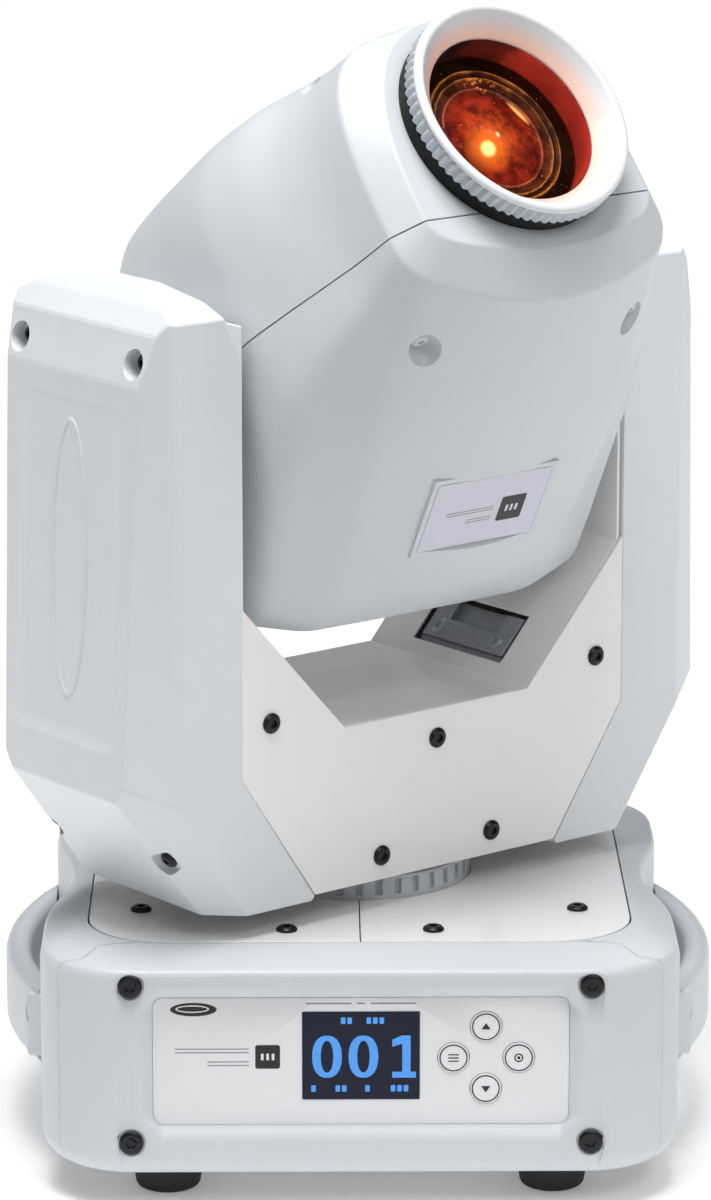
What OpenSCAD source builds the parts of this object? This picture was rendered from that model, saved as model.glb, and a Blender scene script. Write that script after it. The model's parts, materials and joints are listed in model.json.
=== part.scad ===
// Moving head spotlight: a base, a yoke that pans on it, and a head that tilts between the yoke's arms.
// Frame: origin on the floor under the pan axis, +Z up, control panel towards -Y. Sizes are millimetres.

/* [Pose] */
// Pan of the yoke at rest, turned about the vertical axis
pan_rest = 38.3; // [30:0.1:45]
// Tilt of the beam at rest, from straight up towards the front of the yoke
tilt_rest = 50.7; // [45:0.1:56]

/* [Base] */
// Half width of the base at its widest
base_half_w = 120; // [118:0.5:122]
// Half depth of the base, to the faces of both bezels
base_half_d = 118; // [117:0.5:119]
// How far the sides draw in behind the handles
waist_depth = 8; // [6:0.5:9]
// Underside of the base shells
base_low = 13; // [12:0.5:14]
// Top of the flat cover plates
base_top = 98.5; // [98:0.1:99]
// Wall of the moulded shells
wall = 3; // [2.5:0.1:3.2]
// Half width of the cover plates
plate_half_w = 102.5; // [101:0.5:103]
// Half depth of the cover plates
plate_half_d = 96; // [95:0.5:97]
// Outermost reach of a handle from the pan axis
handle_reach = 137.5; // [136:0.5:139]

/* [Control panel] */
// Half width of the flat panel
panel_half_w = 77; // [75:0.5:78]
// Panel height
panel_h = 49; // [47:0.5:50]
// Height of the panel's middle above the floor
panel_z = 57.8; // [57:0.1:58.5]
// Depth of the recess that the panel lies in
panel_recess = 4; // [3:0.5:4.5]
// Diameter of a push button
button_d = 11.6; // [11:0.1:12]

/* [Yoke] */
// Half depth of the yoke, to its front and rear plates
yoke_half_d = 48; // [47.5:0.1:48.5]
// Half gap between the arms
arm_gap = 93.5; // [93:0.1:94]
// Top of the floor between the arms
floor_z = 173; // [171:0.5:174]
// Underside of the yoke
yoke_low = 110; // [109.5:0.1:111]
// Height of the tilt axis
tilt_z = 305; // [304:0.5:306]

/* [Head] */
// How far the beam lies behind the tilt axis
beam_off = 19.6; // [19:0.1:20]
// Distance of the seam between the two head shells in front of the tilt axis
seam_y = 13.4; // [12.5:0.1:14]
// Outer radius of the focus ring
ring_r = 45.1; // [44.5:0.1:45.5]
// Front face of the focus ring along the beam
ring_top = 139.6; // [139:0.1:140.5]
// Number of grip teeth round the focus ring
ring_teeth = 72; // [60:4:80]
// Visible radius of the front lens
lens_r = 33; // [32:0.5:33.5]

/* [Hidden] */
$fn = 48;

shell_white = [0.86, 0.88, 0.89];
plate_white = [0.92, 0.91, 0.89];
steel = [0.62, 0.63, 0.65];
dark = [0.09, 0.09, 0.1];
gap = 0.3;
eps = 0.01;

// ---------- frames and general shapes ----------
module at_yoke() { rotate([0, 0, pan_rest]) children(); }
module at_head() { at_yoke() translate([0, 0, tilt_z]) rotate([tilt_rest, 0, 0]) children(); }
module on_beam() { translate([0, beam_off, 0]) children(); }
module both_sides() { for (k = [0, 1]) mirror([k, 0, 0]) children(); }
module left_half(s) { if (s > 0) children(); else mirror([1, 0, 0]) children(); }
module box(lo, hi) { translate(lo) cube(hi - lo); }

module tube(r_out, r_in, z0, z1) {
    difference() {
        translate([0, 0, z0]) cylinder(r = r_out, h = z1 - z0);
        translate([0, 0, z0 - 1]) cylinder(r = r_in, h = z1 - z0 + 2);
    }
}

// a prism whose outline lies in the XZ plane, from y0 to y1
module front_prism(outline, y0, y1) {
    translate([0, y1, 0]) rotate([90, 0, 0]) linear_extrude(y1 - y0) polygon(outline);
}
// a prism whose outline lies in the YZ plane, from x0 to x1
module side_prism(outline, x0, x1) {
    translate([x0, 0, 0]) rotate([90, 0, 90]) linear_extrude(x1 - x0) polygon(outline);
}
// a rod along Y and a rod along X, from the first to the second place
module rod_y(r, y0, y1) { translate([0, y0, 0]) rotate([-90, 0, 0]) cylinder(r = r, h = y1 - y0); }
module rod_x(r, x0, x1) { translate([x0, 0, 0]) rotate([0, 90, 0]) cylinder(r = r, h = x1 - x0); }

// closed solid through rings with the same number of points, from the lowest ring to the highest
module loft(rings) {
    n = len(rings[0]);
    m = len(rings);
    polyhedron(
        points = [for (ring = rings) for (p = ring) p],
        faces = concat(
            [[for (i = [0:n - 1]) i]],
            [[for (i = [0:n - 1]) m * n - 1 - i]],
            [for (k = [0:m - 2]) for (i = [0:n - 1]) let (j = (i + 1) % n)
                [k * n + i, k * n + n + i, k * n + n + j, k * n + j]]));
}

// an arc of n steps, as points
function arc(x, y, r, from, to, n) =
    [for (i = [0:n]) let (a = from + (to - from) * i / n) [x + r * cos(a), y + r * sin(a)]];
function mix(a, b, t) = a + (b - a) * t;
function mirrored(half) = concat(half, [for (i = [len(half) - 1:-1:0]) [-half[i][0], half[i][1]]]);

// a pan head screw with its head on z = 0 and its shank below
module screw(head_r, head_h, shank_r, shank_l) {
    difference() {
        union() {
            cylinder(r = head_r, h = head_h * 0.45);
            translate([0, 0, head_h * 0.45]) cylinder(r1 = head_r, r2 = head_r * 0.72, h = head_h * 0.55);
            translate([0, 0, -shank_l]) cylinder(r = shank_r, h = shank_l + eps);
        }
        translate([0, 0, head_h * 0.35]) cylinder(r = head_r * 0.42, h = head_h, $fn = 6);
    }
}

// ---------- base ----------
corner_r = 36;
bump_mid = 8;
bump_half = 58;
// the side's distance from the middle plane: it draws in between the handle ends
function side_x(y) = abs(y - bump_mid) > bump_half ? base_half_w :
    base_half_w - waist_depth * (1 + cos(180 * (y - bump_mid) / bump_half)) / 2;

// outline of the base shells, drawn in by d, and blended by t towards the cover plates' outline
function base_outline(d, t = 0) = let (
    cx = mix(base_half_w - corner_r, plate_half_w - 30, t),
    cy = mix(base_half_d - corner_r, plate_half_d - 30, t),
    r = mix(corner_r - d, 30, t),
    half = concat(
        arc(cx, -cy, r, -90, 0, 7),
        [for (i = [1:15]) let (f = -1 + i / 8) [mix(side_x(f * cy) - d, plate_half_w, t), f * cy]],
        arc(cx, cy, r, 0, 90, 7)))
    mirrored(half);
function at_z(outline, z) = [for (p = outline) [p[0], p[1], z]];

// the outside of the base shells: rounded underneath, with a sloping shoulder up to the cover plates
module base_body() {
    loft([
        at_z(base_outline(9), base_low), at_z(base_outline(4), base_low + 2),
        at_z(base_outline(1), base_low + 6), at_z(base_outline(0), base_low + 11),
        at_z(base_outline(0), 89), at_z(base_outline(0.8), 92), at_z(base_outline(3), 94),
        at_z(base_outline(3, 0.45), 96.7), at_z(base_outline(3, 1), base_top)]);
}
module base_hollow() {
    loft([
        at_z(base_outline(9), base_low - 1), at_z(base_outline(wall + 2), base_low + 6),
        at_z(base_outline(wall), base_low + 12), at_z(base_outline(wall), 88),
        at_z(base_outline(wall + 2.5), 91), at_z(base_outline(wall + 2, 0.5), 93.8),
        at_z(base_outline(wall, 1), 94.6)]);
}
module plate_opening(grow, z0, z1) {
    translate([0, 0, z0]) linear_extrude(z1 - z0)
        intersection() {
            polygon([for (p = base_outline(0, 1)) [p[0] * (1 + grow / 100), p[1] * (1 + grow / 100)]]);
            square([2 * plate_half_w + 2 * grow, 2 * plate_half_d + 2 * grow], center = true);
        }
}

seam_front = base_half_d - 14;
// the region in front of the bezel seam, which steps back over the top
module bezel_region(g) {
    linear_extrude(110) polygon([
        [-140, -140], [140, -140], [140, -seam_front - g], [103, -seam_front - g],
        [97.5, -plate_half_d - g], [-97.5, -plate_half_d - g], [-103, -seam_front - g],
        [-140, -seam_front - g]]);
}

screw_x = 85.3;
screw_dz = 30.4;
notch_r = 11.5;
// outline of the panel recess: a rectangle whose corners curve in round the screws
function recess_outline(e) = let (
    w = panel_half_w + e,
    h = panel_h / 2 + e,
    r = notch_r - e * 0.3,
    ax = acos(min(1, (screw_dz - h) / r)),
    az = acos(min(1, (screw_x - w) / r)),
    lo = 180 + az,
    hi = 270 - ax,
    quarter = arc(screw_x, screw_dz, r, hi, lo, 6))
    concat(
        [for (i = [6:-1:0]) quarter[i]],
        [for (i = [0:6]) [-quarter[i][0], quarter[i][1]]],
        [for (i = [6:-1:0]) [-quarter[i][0], -quarter[i][1]]],
        [for (i = [0:6]) [quarter[i][0], -quarter[i][1]]]);
module panel_prism(e, y0, y1) {
    translate([0, 0, panel_z]) front_prism(recess_outline(e), y0, y1);
}
panel_y = -base_half_d + panel_recess;
function panel_ring(e, y) = [for (p = recess_outline(e)) [p[0], y, panel_z + p[1]]];
// the recess slopes in towards the panel, whose edge lies on its floor
module panel_recess_cut() {
    loft([panel_ring(0.4, panel_y + 1.6), panel_ring(0.4, panel_y), panel_ring(5, -base_half_d - 0.5)]);
}

module bezel_plain() {
    difference() {
        intersection() { base_body(); bezel_region(0); }
        difference() {
            base_hollow();
            box([-130, -base_half_d - 5, 0], [130, -base_half_d + wall + 4, 110]);
        }
        for (sx = [-1, 1], sz = [-1, 1])
            translate([sx * screw_x, 0, panel_z + sz * screw_dz]) rod_y(2.7, -base_half_d - 5, -100);
    }
}

module front_bezel() {
    color(shell_white) difference() {
        bezel_plain();
        panel_recess_cut();
        box([-64, -base_half_d - 1, panel_z - 20], [66, -base_half_d + 12, panel_z + 20]);
    }
}

inlet_x = -52;
inlet_z = 52;
socket_x = [22, 58];
socket_z = 54;
module rear_bezel() {
    color(shell_white) difference() {
        rotate([0, 0, 180]) bezel_plain();
        box([inlet_x - 15, 90, inlet_z - 18], [inlet_x + 15, 130, inlet_z + 18]);
        for (x = socket_x) box([x - 12.2, 90, socket_z - 12.2], [x + 12.2, 130, socket_z + 12.2]);
    }
}

module side_shell(s) {
    color(shell_white) difference() {
        intersection() {
            base_body();
            box([s > 0 ? gap : -140, -seam_front, 0], [s > 0 ? 140 : -gap, seam_front, 110]);
        }
        base_hollow();
        plate_opening(0.4, 90, 110);
        for (k = [0, 180]) rotate([0, 0, k]) bezel_region(-gap);
        box([-88, -110, 0], [88, 110, base_low + 8]);
        box([-80, -110, 90], [80, 110, 110]);
        both_sides() for (y = handle_screw_y) translate([0, y, handle_z + 2]) rod_x(2.1, 100, 130);
    }
}
module side_shell_left() { side_shell(-1); }
module side_shell_right() { side_shell(1); }

// handle: a flat arc from the front to the rear of each side
handle_bar_r = 5;
handle_arc_r = 161;
handle_z = 55;
handle_half_h = 16;
handle_end = 24.6;
handle_screw_y = [-57, 65];
module handle_section() {
    for (s = [-1, 1]) translate([0, s * (handle_half_h - handle_bar_r)]) circle(r = handle_bar_r);
    translate([-handle_bar_r, -handle_half_h + handle_bar_r])
        square([2 * handle_bar_r, 2 * (handle_half_h - handle_bar_r)]);
}
module handle(s) {
    color(shell_white) left_half(s) difference() {
        union() {
            translate([handle_reach - handle_arc_r, bump_mid - 4, handle_z]) rotate([0, 0, -handle_end])
                rotate_extrude(angle = 2 * handle_end, $fn = 180)
                    translate([handle_arc_r - handle_bar_r, 0]) handle_section();
            for (y = [-60, 68]) hull() {
                translate([119.6, y, handle_z]) cube([1, 10, 24], center = true);
                translate([126, y - sign(y) * 2, handle_z]) cube([1, 8, 26], center = true);
            }
        }
        box([90, -100, handle_z - 30], [120.2, 100, handle_z + 30]);
        for (y = handle_screw_y) translate([0, y, handle_z + 2]) {
            rod_x(2.2, 110, 140);
            rod_x(5, 122.5, 145);
        }
    }
}
module handle_left() { handle(-1); }
module handle_right() { handle(1); }

module handle_screws() {
    color(dark) both_sides() for (y = handle_screw_y)
        translate([122.5, y, handle_z + 2]) rotate([0, 90, 0]) screw(4, 2.4, 1.9, 12);
}

plate_t = 1.5;
shaft_hole_r = 44;
plate_screws = [[82.8, -56], [27.5, -82], [82.8, 56], [27.5, 82]];
module top_plate(s) {
    color(plate_white) difference() {
        intersection() {
            plate_opening(-0.3, base_top - plate_t, base_top);
            box([s > 0 ? 0.2 : -140, -140, 0], [s > 0 ? 140 : -0.2, 140, 110]);
        }
        translate([0, 0, 90]) cylinder(r = shaft_hole_r, h = 20);
        for (p = plate_screws) translate([s * p[0], p[1], 90]) cylinder(r = 2.2, h = 20);
    }
}
module top_plate_left() { top_plate(-1); }
module top_plate_right() { top_plate(1); }
module top_plate_screws() {
    color(dark) both_sides() for (p = plate_screws)
        translate([p[0], p[1], base_top]) screw(4, 1.8, 1.9, 9);
}

feet_x = 72.5;
feet_y = 87;
bracket_holes = [53, 50];
safety_y = -70;
post = 9;
deck_z = 86;
module base_chassis() {
    color(steel) difference() {
        union() {
            translate([0, 0, base_low]) linear_extrude(2)
                polygon([for (p = base_outline(9.5)) p]);
            // bearing deck on two folded walls
            box([-60, -40, deck_z], [60, 40, deck_z + 2]);
            for (s = [-1, 1]) box([s * 60 - 1, -40, base_low + 1], [s * 60 + 1, 40, deck_z + 2]);
            // posts that the cover plates are screwed to
            for (s = [-1, 1], p = plate_screws)
                box([s * p[0] - post / 2, p[1] - post / 2, base_low + 1],
                    [s * p[0] + post / 2, p[1] + post / 2, base_top - plate_t]);
            // lugs that the bezels are screwed to
            for (sx = [-1, 1], sy = [-1, 1], sz = [-1, 1])
                box([sx * screw_x - 5, sy * 103 - 4, panel_z + sz * screw_dz - 6],
                    [sx * screw_x + 5, sy * 103 + 4, panel_z + sz * screw_dz + 4]);
            for (sx = [-1, 1], sy = [-1, 1])
                box([sx * screw_x - 5, sy * 100 - 1.5, base_low + 1],
                    [sx * screw_x + 5, sy * 100 + 1.5, panel_z + screw_dz + 4]);
        }
        cylinder(r = 24, h = 200);
        for (s = [-1, 1], p = plate_screws)
            translate([s * p[0], p[1], base_top - 12]) cylinder(r = 1.95, h = 20);
        for (sx = [-1, 1], sy = [-1, 1]) {
            translate([sx * bracket_holes[0], sy * bracket_holes[1], 0]) cylinder(r = 4, h = 30);
            translate([sx * feet_x, sy * feet_y, 0]) cylinder(r = 3.05, h = 30);
            for (sz = [-1, 1])
                translate([sx * screw_x, 0, panel_z + sz * screw_dz])
                    rod_y(2.45, sy * 108 - 12, sy * 108 + 12);
        }
        translate([0, safety_y, 0]) cylinder(r = 6, h = 30);
    }
}

module rubber_feet() {
    color(dark) for (sx = [-1, 1], sy = [-1, 1]) translate([sx * feet_x, sy * feet_y, 0])
        rotate_extrude() polygon([
            [0, 0], [10, 0], [11.6, 0.8], [12.2, 2], [14, base_low], [3, base_low], [3, base_low + 6],
            [0, base_low + 6]]);
}

module bezel_screws() {
    color(dark) for (k = [0, 180]) rotate([0, 0, k]) for (sx = [-1, 1], sz = [-1, 1])
        translate([sx * screw_x, -base_half_d, panel_z + sz * screw_dz]) rotate([90, 0, 0])
            screw(4.6, 1.5, 2.4, 16);
}

display_half_w = 21.7;
display_z = [42.9, 76.9];
keys = [["up", 46.3, 71.1], ["down", 46.3, 47], ["menu", 34.3, 59], ["enter", 58.5, 59]];
module control_panel() {
    color("white") difference() {
        panel_prism(0.1, panel_y, panel_y + 1.5);
        box([-display_half_w - 0.1, -140, display_z[0] - 0.1], [display_half_w + 0.1, 0, display_z[1] + 0.1]);
        for (k = keys) translate([k[1], 0, k[2]]) rod_y(button_d / 2 + 0.25, -140, 0);
    }
}
module display() {
    color("midnightblue") {
        box([-display_half_w, panel_y - 0.3, display_z[0]], [display_half_w, panel_y + 3, display_z[1]]);
        box([-display_half_w - 4, panel_y + 2.9, display_z[0] - 3],
            [display_half_w + 4, panel_y + 5.5, display_z[1] + 0.6]);
    }
    color("seagreen") box([-62, panel_y + 5.5, panel_z - 19], [64, panel_y + 7.1, panel_z + 19]);
}
module button(k) {
    color("white") translate([k[1], 0, k[2]]) {
        rod_y(button_d / 2, panel_y - 0.5, panel_y + 1.2);
        rod_y(button_d / 2 - 2.5, panel_y + 1.1, panel_y + 4.4);
    }
}
module button_up() { button(keys[0]); }
module button_down() { button(keys[1]); }
module button_menu() { button(keys[2]); }
module button_enter() { button(keys[3]); }

module power_inlet() {
    color(dark) translate([inlet_x, 0, inlet_z]) {
        difference() {
            box([-18.5, base_half_d, -21], [18.5, base_half_d + 1.5, 21]);
            box([-12.5, 100, -13.5], [12.5, 140, 3]);
        }
        difference() {
            box([-14.7, 96, -17.7], [14.7, base_half_d + eps, 17.7]);
            box([-12.5, base_half_d - 16, -13.5], [12.5, 140, 3]);
        }
        // fuse drawer over the three blades
        box([-11, base_half_d + 1.4, 7], [11, base_half_d + 1.5, 16]);
        for (x = [-7, 0, 7]) box([x - 1, base_half_d - 17, x == 0 ? -4 : -9],
            [x + 1, base_half_d - 3, x == 0 ? 0 : -5]);
    }
}
module data_socket(x, pins) {
    color(dark) translate([x, 0, socket_z]) {
        difference() {
            union() {
                box([-13, base_half_d, -15.5], [13, base_half_d + 1.4, 15.5]);
                rod_y(12, 96, base_half_d + 0.5);
            }
            rod_y(pins ? 9 : 7.8, base_half_d - 14, 140);
            if (pins) translate([0, 0, 7]) rod_y(2.3, base_half_d - 14, 140);
        }
        for (a = [-60, 60, 180]) rotate([0, a, 0]) translate([0, 0, pins ? 4 : 5.4])
            rod_y(pins ? 1.2 : 0.9, base_half_d - 15, base_half_d - (pins ? 4 : 8));
    }
}
module data_input_socket() { data_socket(socket_x[0], true); }
module data_output_socket() { data_socket(socket_x[1], false); }

module power_supply() {
    color("silver") {
        box([-104, -48, 22], [-66, 48, 60]);
        for (y = [-38, 38]) box([-100, y - 6, base_low + 2], [-70, y + 6, 22]);
    }
}
module main_board() {
    color("seagreen") box([64, -42, 24], [106, 42, 25.6]);
    color("silver") {
        for (y = [-36, 36]) box([66, y - 3, base_low + 2], [72, y + 3, 24]);
        box([72, -30, 25.6], [92, -8, 30]);
        box([74, 6, 25.6], [98, 30, 40]);
    }
}

// ---------- pan drive ----------
pan_r = 14;
pan_pulley_r = 34;
motor_pulley_r = 8.5;
motor_y = 66;
belt_z = [68, 78];
belt_t = 1.6;
module vent_collar() {
    color(shell_white) difference() {
        translate([0, 0, base_top - plate_t])
            cylinder(r = shaft_hole_r - 0.3, h = 107.5 - base_top + plate_t, $fn = 96);
        translate([0, 0, 80]) cylinder(r = 36, h = 40);
        for (i = [0:35]) rotate([0, 0, 10 * i]) box([41.5, -1.4, base_top + 1.5], [50, 1.4, 106.3]);
    }
    color(shell_white) tube(43.5, 24.5, deck_z + 2, base_top - plate_t + 1);
}
module pan_bearing() { color("silver") tube(24, pan_r + 0.05, deck_z - 4, deck_z + 8); }
module pan_shaft() {
    color("silver") at_yoke() difference() {
        union() {
            translate([0, 0, 58]) cylinder(r = pan_r, h = yoke_low - 58 + 1);
            translate([0, 0, deck_z + 8.5]) cylinder(r = 20, h = 2.5);
            translate([0, 0, yoke_low - 2]) cylinder(r = 30, h = 2);
        }
        translate([0, 0, 50]) cylinder(r = 10, h = 80);
    }
}
module toothed_pulley(r, bore, z0, z1, teeth) {
    difference() {
        union() {
            translate([0, 0, z0]) cylinder(r = r, h = z1 - z0);
            translate([0, 0, z0 - 1.5]) cylinder(r = r + 2.4, h = 1.5 + eps);
        }
        translate([0, 0, z0 - 5]) cylinder(r = bore, h = z1 - z0 + 10);
        for (i = [0:teeth - 1]) rotate([0, 0, 360 * i / teeth])
            box([r - 0.8, -0.5, z0], [r + 1, 0.5, z1 + 1]);
    }
}
module pan_pulley() {
    color("silver") at_yoke() toothed_pulley(pan_pulley_r, pan_r, belt_z[0], belt_z[1], 48);
}
module pan_motor() {
    color(dark) translate([0, motor_y, 0]) {
        difference() {
            union() {
                box([-21, -21, 24], [21, 21, 56]);
                translate([0, 0, 56]) cylinder(r = 11, h = 2);
                box([-21, -19, base_low + 2], [21, 19, 24]);
            }
            for (sx = [-1, 1], sy = [-1, 1]) translate([sx * 21, sy * 21, 20]) rotate([0, 0, 45])
                cube([5, 5, 90], center = true);
        }
        translate([0, 0, 57]) cylinder(r = 2.5, h = 22);
    }
}
module pan_motor_pulley() {
    color("silver") translate([0, motor_y, 0]) toothed_pulley(motor_pulley_r, 2.55, belt_z[0], belt_z[1], 12);
}
// a belt round a large wheel at the origin and a small wheel at distance c along +Y
function belt_loop(r1, r2, c) = let (a = asin((r1 - r2) / c))
    concat(arc(0, 0, r1, 180 - a, 360 + a, 24), arc(0, c, r2, a, 180 - a, 12));
module belt(r1, r2, c, z0, z1) {
    difference() {
        translate([0, 0, z0]) linear_extrude(z1 - z0) polygon(belt_loop(r1 + belt_t, r2 + belt_t, c));
        translate([0, 0, z0 - 1]) linear_extrude(z1 - z0 + 2) polygon(belt_loop(r1 + 0.3, r2 + 0.3, c));
    }
}
module pan_belt() {
    color(dark) belt(pan_pulley_r, motor_pulley_r, motor_y, belt_z[0] + 0.5, belt_z[1] - 0.5);
}

// ---------- yoke ----------
sheet = 1.5;
notch_half = 45.1;
shoulder_z = 226;
side_low_z = 160.3;
low_half = 59.2;
yoke_plate_outline = [
    [-low_half, yoke_low], [low_half, yoke_low], [arm_gap, side_low_z], [arm_gap, shoulder_z],
    [notch_half, floor_z], [-notch_half, floor_z], [-arm_gap, shoulder_z], [-arm_gap, side_low_z]];
yoke_screw_places = [[-79.9, 180.3], [79.9, 180.3], [0, 161.1], [-27.2, 119.5], [27.2, 119.5]];
module yoke_plate() {
    color(plate_white) difference() {
        front_prism(yoke_plate_outline, -yoke_half_d, -yoke_half_d + sheet);
        for (p = yoke_screw_places) translate([p[0], 0, p[1]]) rod_y(2.2, -60, -40);
    }
}
module yoke_front_plate() { at_yoke() yoke_plate(); }
module yoke_rear_plate() { at_yoke() rotate([0, 0, 180]) yoke_plate(); }
module yoke_plate_screws() {
    color(dark) at_yoke() for (k = [0, 180]) rotate([0, 0, k]) for (p = yoke_screw_places)
        translate([p[0], -yoke_half_d, p[1]]) rotate([90, 0, 0]) screw(3.9, 1.6, 1.9, 6);
}

inner_d = yoke_half_d - sheet - 0.02;
wall_in = 91.5;
wall_top = 331;
bearing_r = 14;
slope_angle = atan2(shoulder_z - floor_z, arm_gap - notch_half);
window_mid = [57, 0, floor_z + (57 - notch_half) * tan(slope_angle)];
window_half = [11, 26.5];
// sheet metal: base tray, U-shaped floor and the inner walls of the arms
module yoke_frame() {
    color(plate_white) at_yoke() difference() {
        union() {
            front_prism([
                [-wall_in, wall_top], [-wall_in - sheet, wall_top], [-wall_in - sheet, shoulder_z - 1],
                [-notch_half, floor_z - sheet], [notch_half, floor_z - sheet],
                [wall_in + sheet, shoulder_z - 1],
                [wall_in + sheet, wall_top], [wall_in, wall_top], [wall_in, shoulder_z - 1.5],
                [notch_half, floor_z], [-notch_half, floor_z], [-wall_in, shoulder_z - 1.5]],
                -inner_d, inner_d);
            box([-low_half, -inner_d, yoke_low], [low_half, inner_d, yoke_low + 2]);
            for (s = [-1, 1]) {
                box([s * 40 - 1, -inner_d, yoke_low + 1], [s * 40 + 1, inner_d, floor_z - 1]);
                // lips that the plates are screwed to
                for (p = yoke_screw_places)
                    box([p[0] - 5, s * (inner_d - 3) - 3, p[1] - 5],
                        [p[0] + 5, s * (inner_d - 3) + 3, p[1] + 5]);
                box([-62, s * (inner_d - 1) - 1, yoke_low + 1], [62, s * (inner_d - 1) + 1, 130]);
                box([-84, s * (inner_d - 1) - 1, 160], [84, s * (inner_d - 1) + 1, 172]);
                for (p = [yoke_screw_places[0], yoke_screw_places[1]])
                    box([p[0] - 5, s * (inner_d - 3) - 3, p[1] - 14],
                        [p[0] + 5, s * (inner_d - 3) + 3, p[1] - 2]);
            }
        }
        translate([0, 0, tilt_z]) rod_x(bearing_r, -100, 100);
        for (p = yoke_screw_places) translate([p[0], 0, p[1]]) rod_y(1.95, -inner_d - 1, -inner_d + 7);
        for (p = yoke_screw_places) translate([-p[0], 0, p[1]]) rod_y(1.95, inner_d - 7, inner_d + 1);
        translate([0, 0, yoke_low - 1]) cylinder(r = 20.5, h = 4);
        translate(window_mid) rotate([0, -slope_angle, 0])
            box([-window_half[0], -window_half[1], -6], [window_half[0], window_half[1], 6]);
        box([-92, -24, 127], [-52, 24, 174]);
    }
}

// the dark bracket seen through the window in the right slope
module yoke_bracket() {
    at_yoke() translate(window_mid) rotate([0, -slope_angle, 0]) {
        color([0.3, 0.31, 0.33]) difference() {
            union() {
                box([-8, -24, -12], [9.5, 24, -0.6]);
                box([-10.5, -26, -5], [10.5, 26, -2.6]);
            }
            for (y = [-17, 17]) translate([-3, y, -14]) cylinder(r = 1.6, h = 20);
            box([1, -14, -4], [11, 14, 2]);
        }
        color("silver") for (y = [-17, 17]) translate([-3, y, -0.6]) screw(3.4, 1.4, 1.55, 10);
    }
}

// outside of one arm cover: three outlines, seen from the front, the side and above, cut each other
arm_out = 141;
arm_front = 122.5;
arm_cham = 36.6;
arm_top = 345;
function arm_front_view(d) = [
    [arm_gap + 0.1 + d, 320 - d * 0.7], [arm_gap + 0.1 + d, side_low_z + d],
    [low_half + 0.4 + d * 1.5, yoke_low - 0.4 + d], [low_half + 2 + d * 1.5, yoke_low - 2.4 + d],
    [104 - d * 0.4, yoke_low - 2.4 + d], [arm_out - d, 157 + d * 0.4], [arm_out - 6.6 - d, 312],
    [arm_out - 12 - d, 331 - d * 0.6], [arm_out - 19 - d * 0.6, 339 - d], [arm_front - 8, arm_top - d],
    [107, arm_top - d], [102 + d * 0.5, 339 - d]];
function arm_side_view(d) = [
    [-yoke_half_d + d, 100], [yoke_half_d - d, 100], [yoke_half_d - d, 335 - d * 0.5], [38, 340.5 - d],
    [18, arm_top - d], [-18, arm_top - d], [-38, 340.5 - d], [-yoke_half_d + d, 335 - d * 0.5]];
function arm_plan(d) = [
    [55, -yoke_half_d + d], [arm_front - d * 0.6, -yoke_half_d + d], [arm_out - d, -arm_cham + d * 0.4],
    [arm_out - d, arm_cham - d * 0.4], [arm_front - d * 0.6, yoke_half_d - d], [55, yoke_half_d - d]];
module arm_block(d) {
    intersection() {
        front_prism(arm_front_view(d), -60, 60);
        side_prism(arm_side_view(d), 50, 150);
        translate([0, 0, 90]) linear_extrude(270) polygon(arm_plan(d));
    }
}
arm_screw_y = 35;
arm_screw_z = 320;
arm_screw_seat = 126;
low_screw = [117.5, 35, 132.3];
low_angle = 90 + atan2(37, 49.5);
module arm_screw_holes(r_head, r_shank) {
    for (s = [-1, 1]) translate([0, s * arm_screw_y, arm_screw_z]) {
        rod_x(r_head, arm_screw_seat, 150);
        rod_x(r_shank, arm_screw_seat - 14, 150);
    }
    for (s = [-1, 1]) translate([low_screw[0], s * low_screw[1], low_screw[2]]) rotate([0, low_angle, 0]) {
        cylinder(r = r_head, h = 30);
        translate([0, 0, -14]) cylinder(r = r_shank, h = 30);
    }
}
// inner side of the cover: it is open to the yoke's frame
module arm_cover(s) {
    color(shell_white) at_yoke() left_half(s) difference() {
        arm_block(0);
        intersection() {
            arm_block(wall);
            box([0, -60, 0], [200, 60, 400]);
        }
        // open side towards the frame and the yoke's floor, and room round the bearing
        box([80, -yoke_half_d + wall, shoulder_z - 40], [100, yoke_half_d - wall, 314]);
        front_prism([[40, 90], [low_half + 8, yoke_low + 1.5], [arm_gap + 5, side_low_z - 2],
            [arm_gap + 5, shoulder_z], [40, shoulder_z]], -yoke_half_d + wall, yoke_half_d - wall);
        translate([0, 0, tilt_z]) rod_x(bearing_r + 0.6, 80, 100);
        front_prism([[30, 60], [low_half + 0.3, yoke_low - 3], [low_half + 0.3, yoke_low - 0.1],
            [arm_gap + 0.1, side_low_z - 0.1], [arm_gap + 0.1, 300], [30, 300]], -60, 60);
        // shallow panel on the outer face
        outer_panel();
        arm_screw_holes(5.6, 2.1);
    }
    // bosses round the screws, inside the cover
    color(shell_white) at_yoke() left_half(s) difference() {
        intersection() {
            arm_block(wall - 0.2);
            union() {
                for (k = [-1, 1]) {
                    translate([0, k * arm_screw_y, arm_screw_z]) rod_x(8, arm_screw_seat - 6, 150);
                    translate([low_screw[0], k * low_screw[1], low_screw[2]])
                        rotate([0, low_angle, 0]) translate([0, 0, -5]) cylinder(r = 8, h = 30);
                }
            }
        }
        arm_screw_holes(5.6, 2.1);
    }
}
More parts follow.
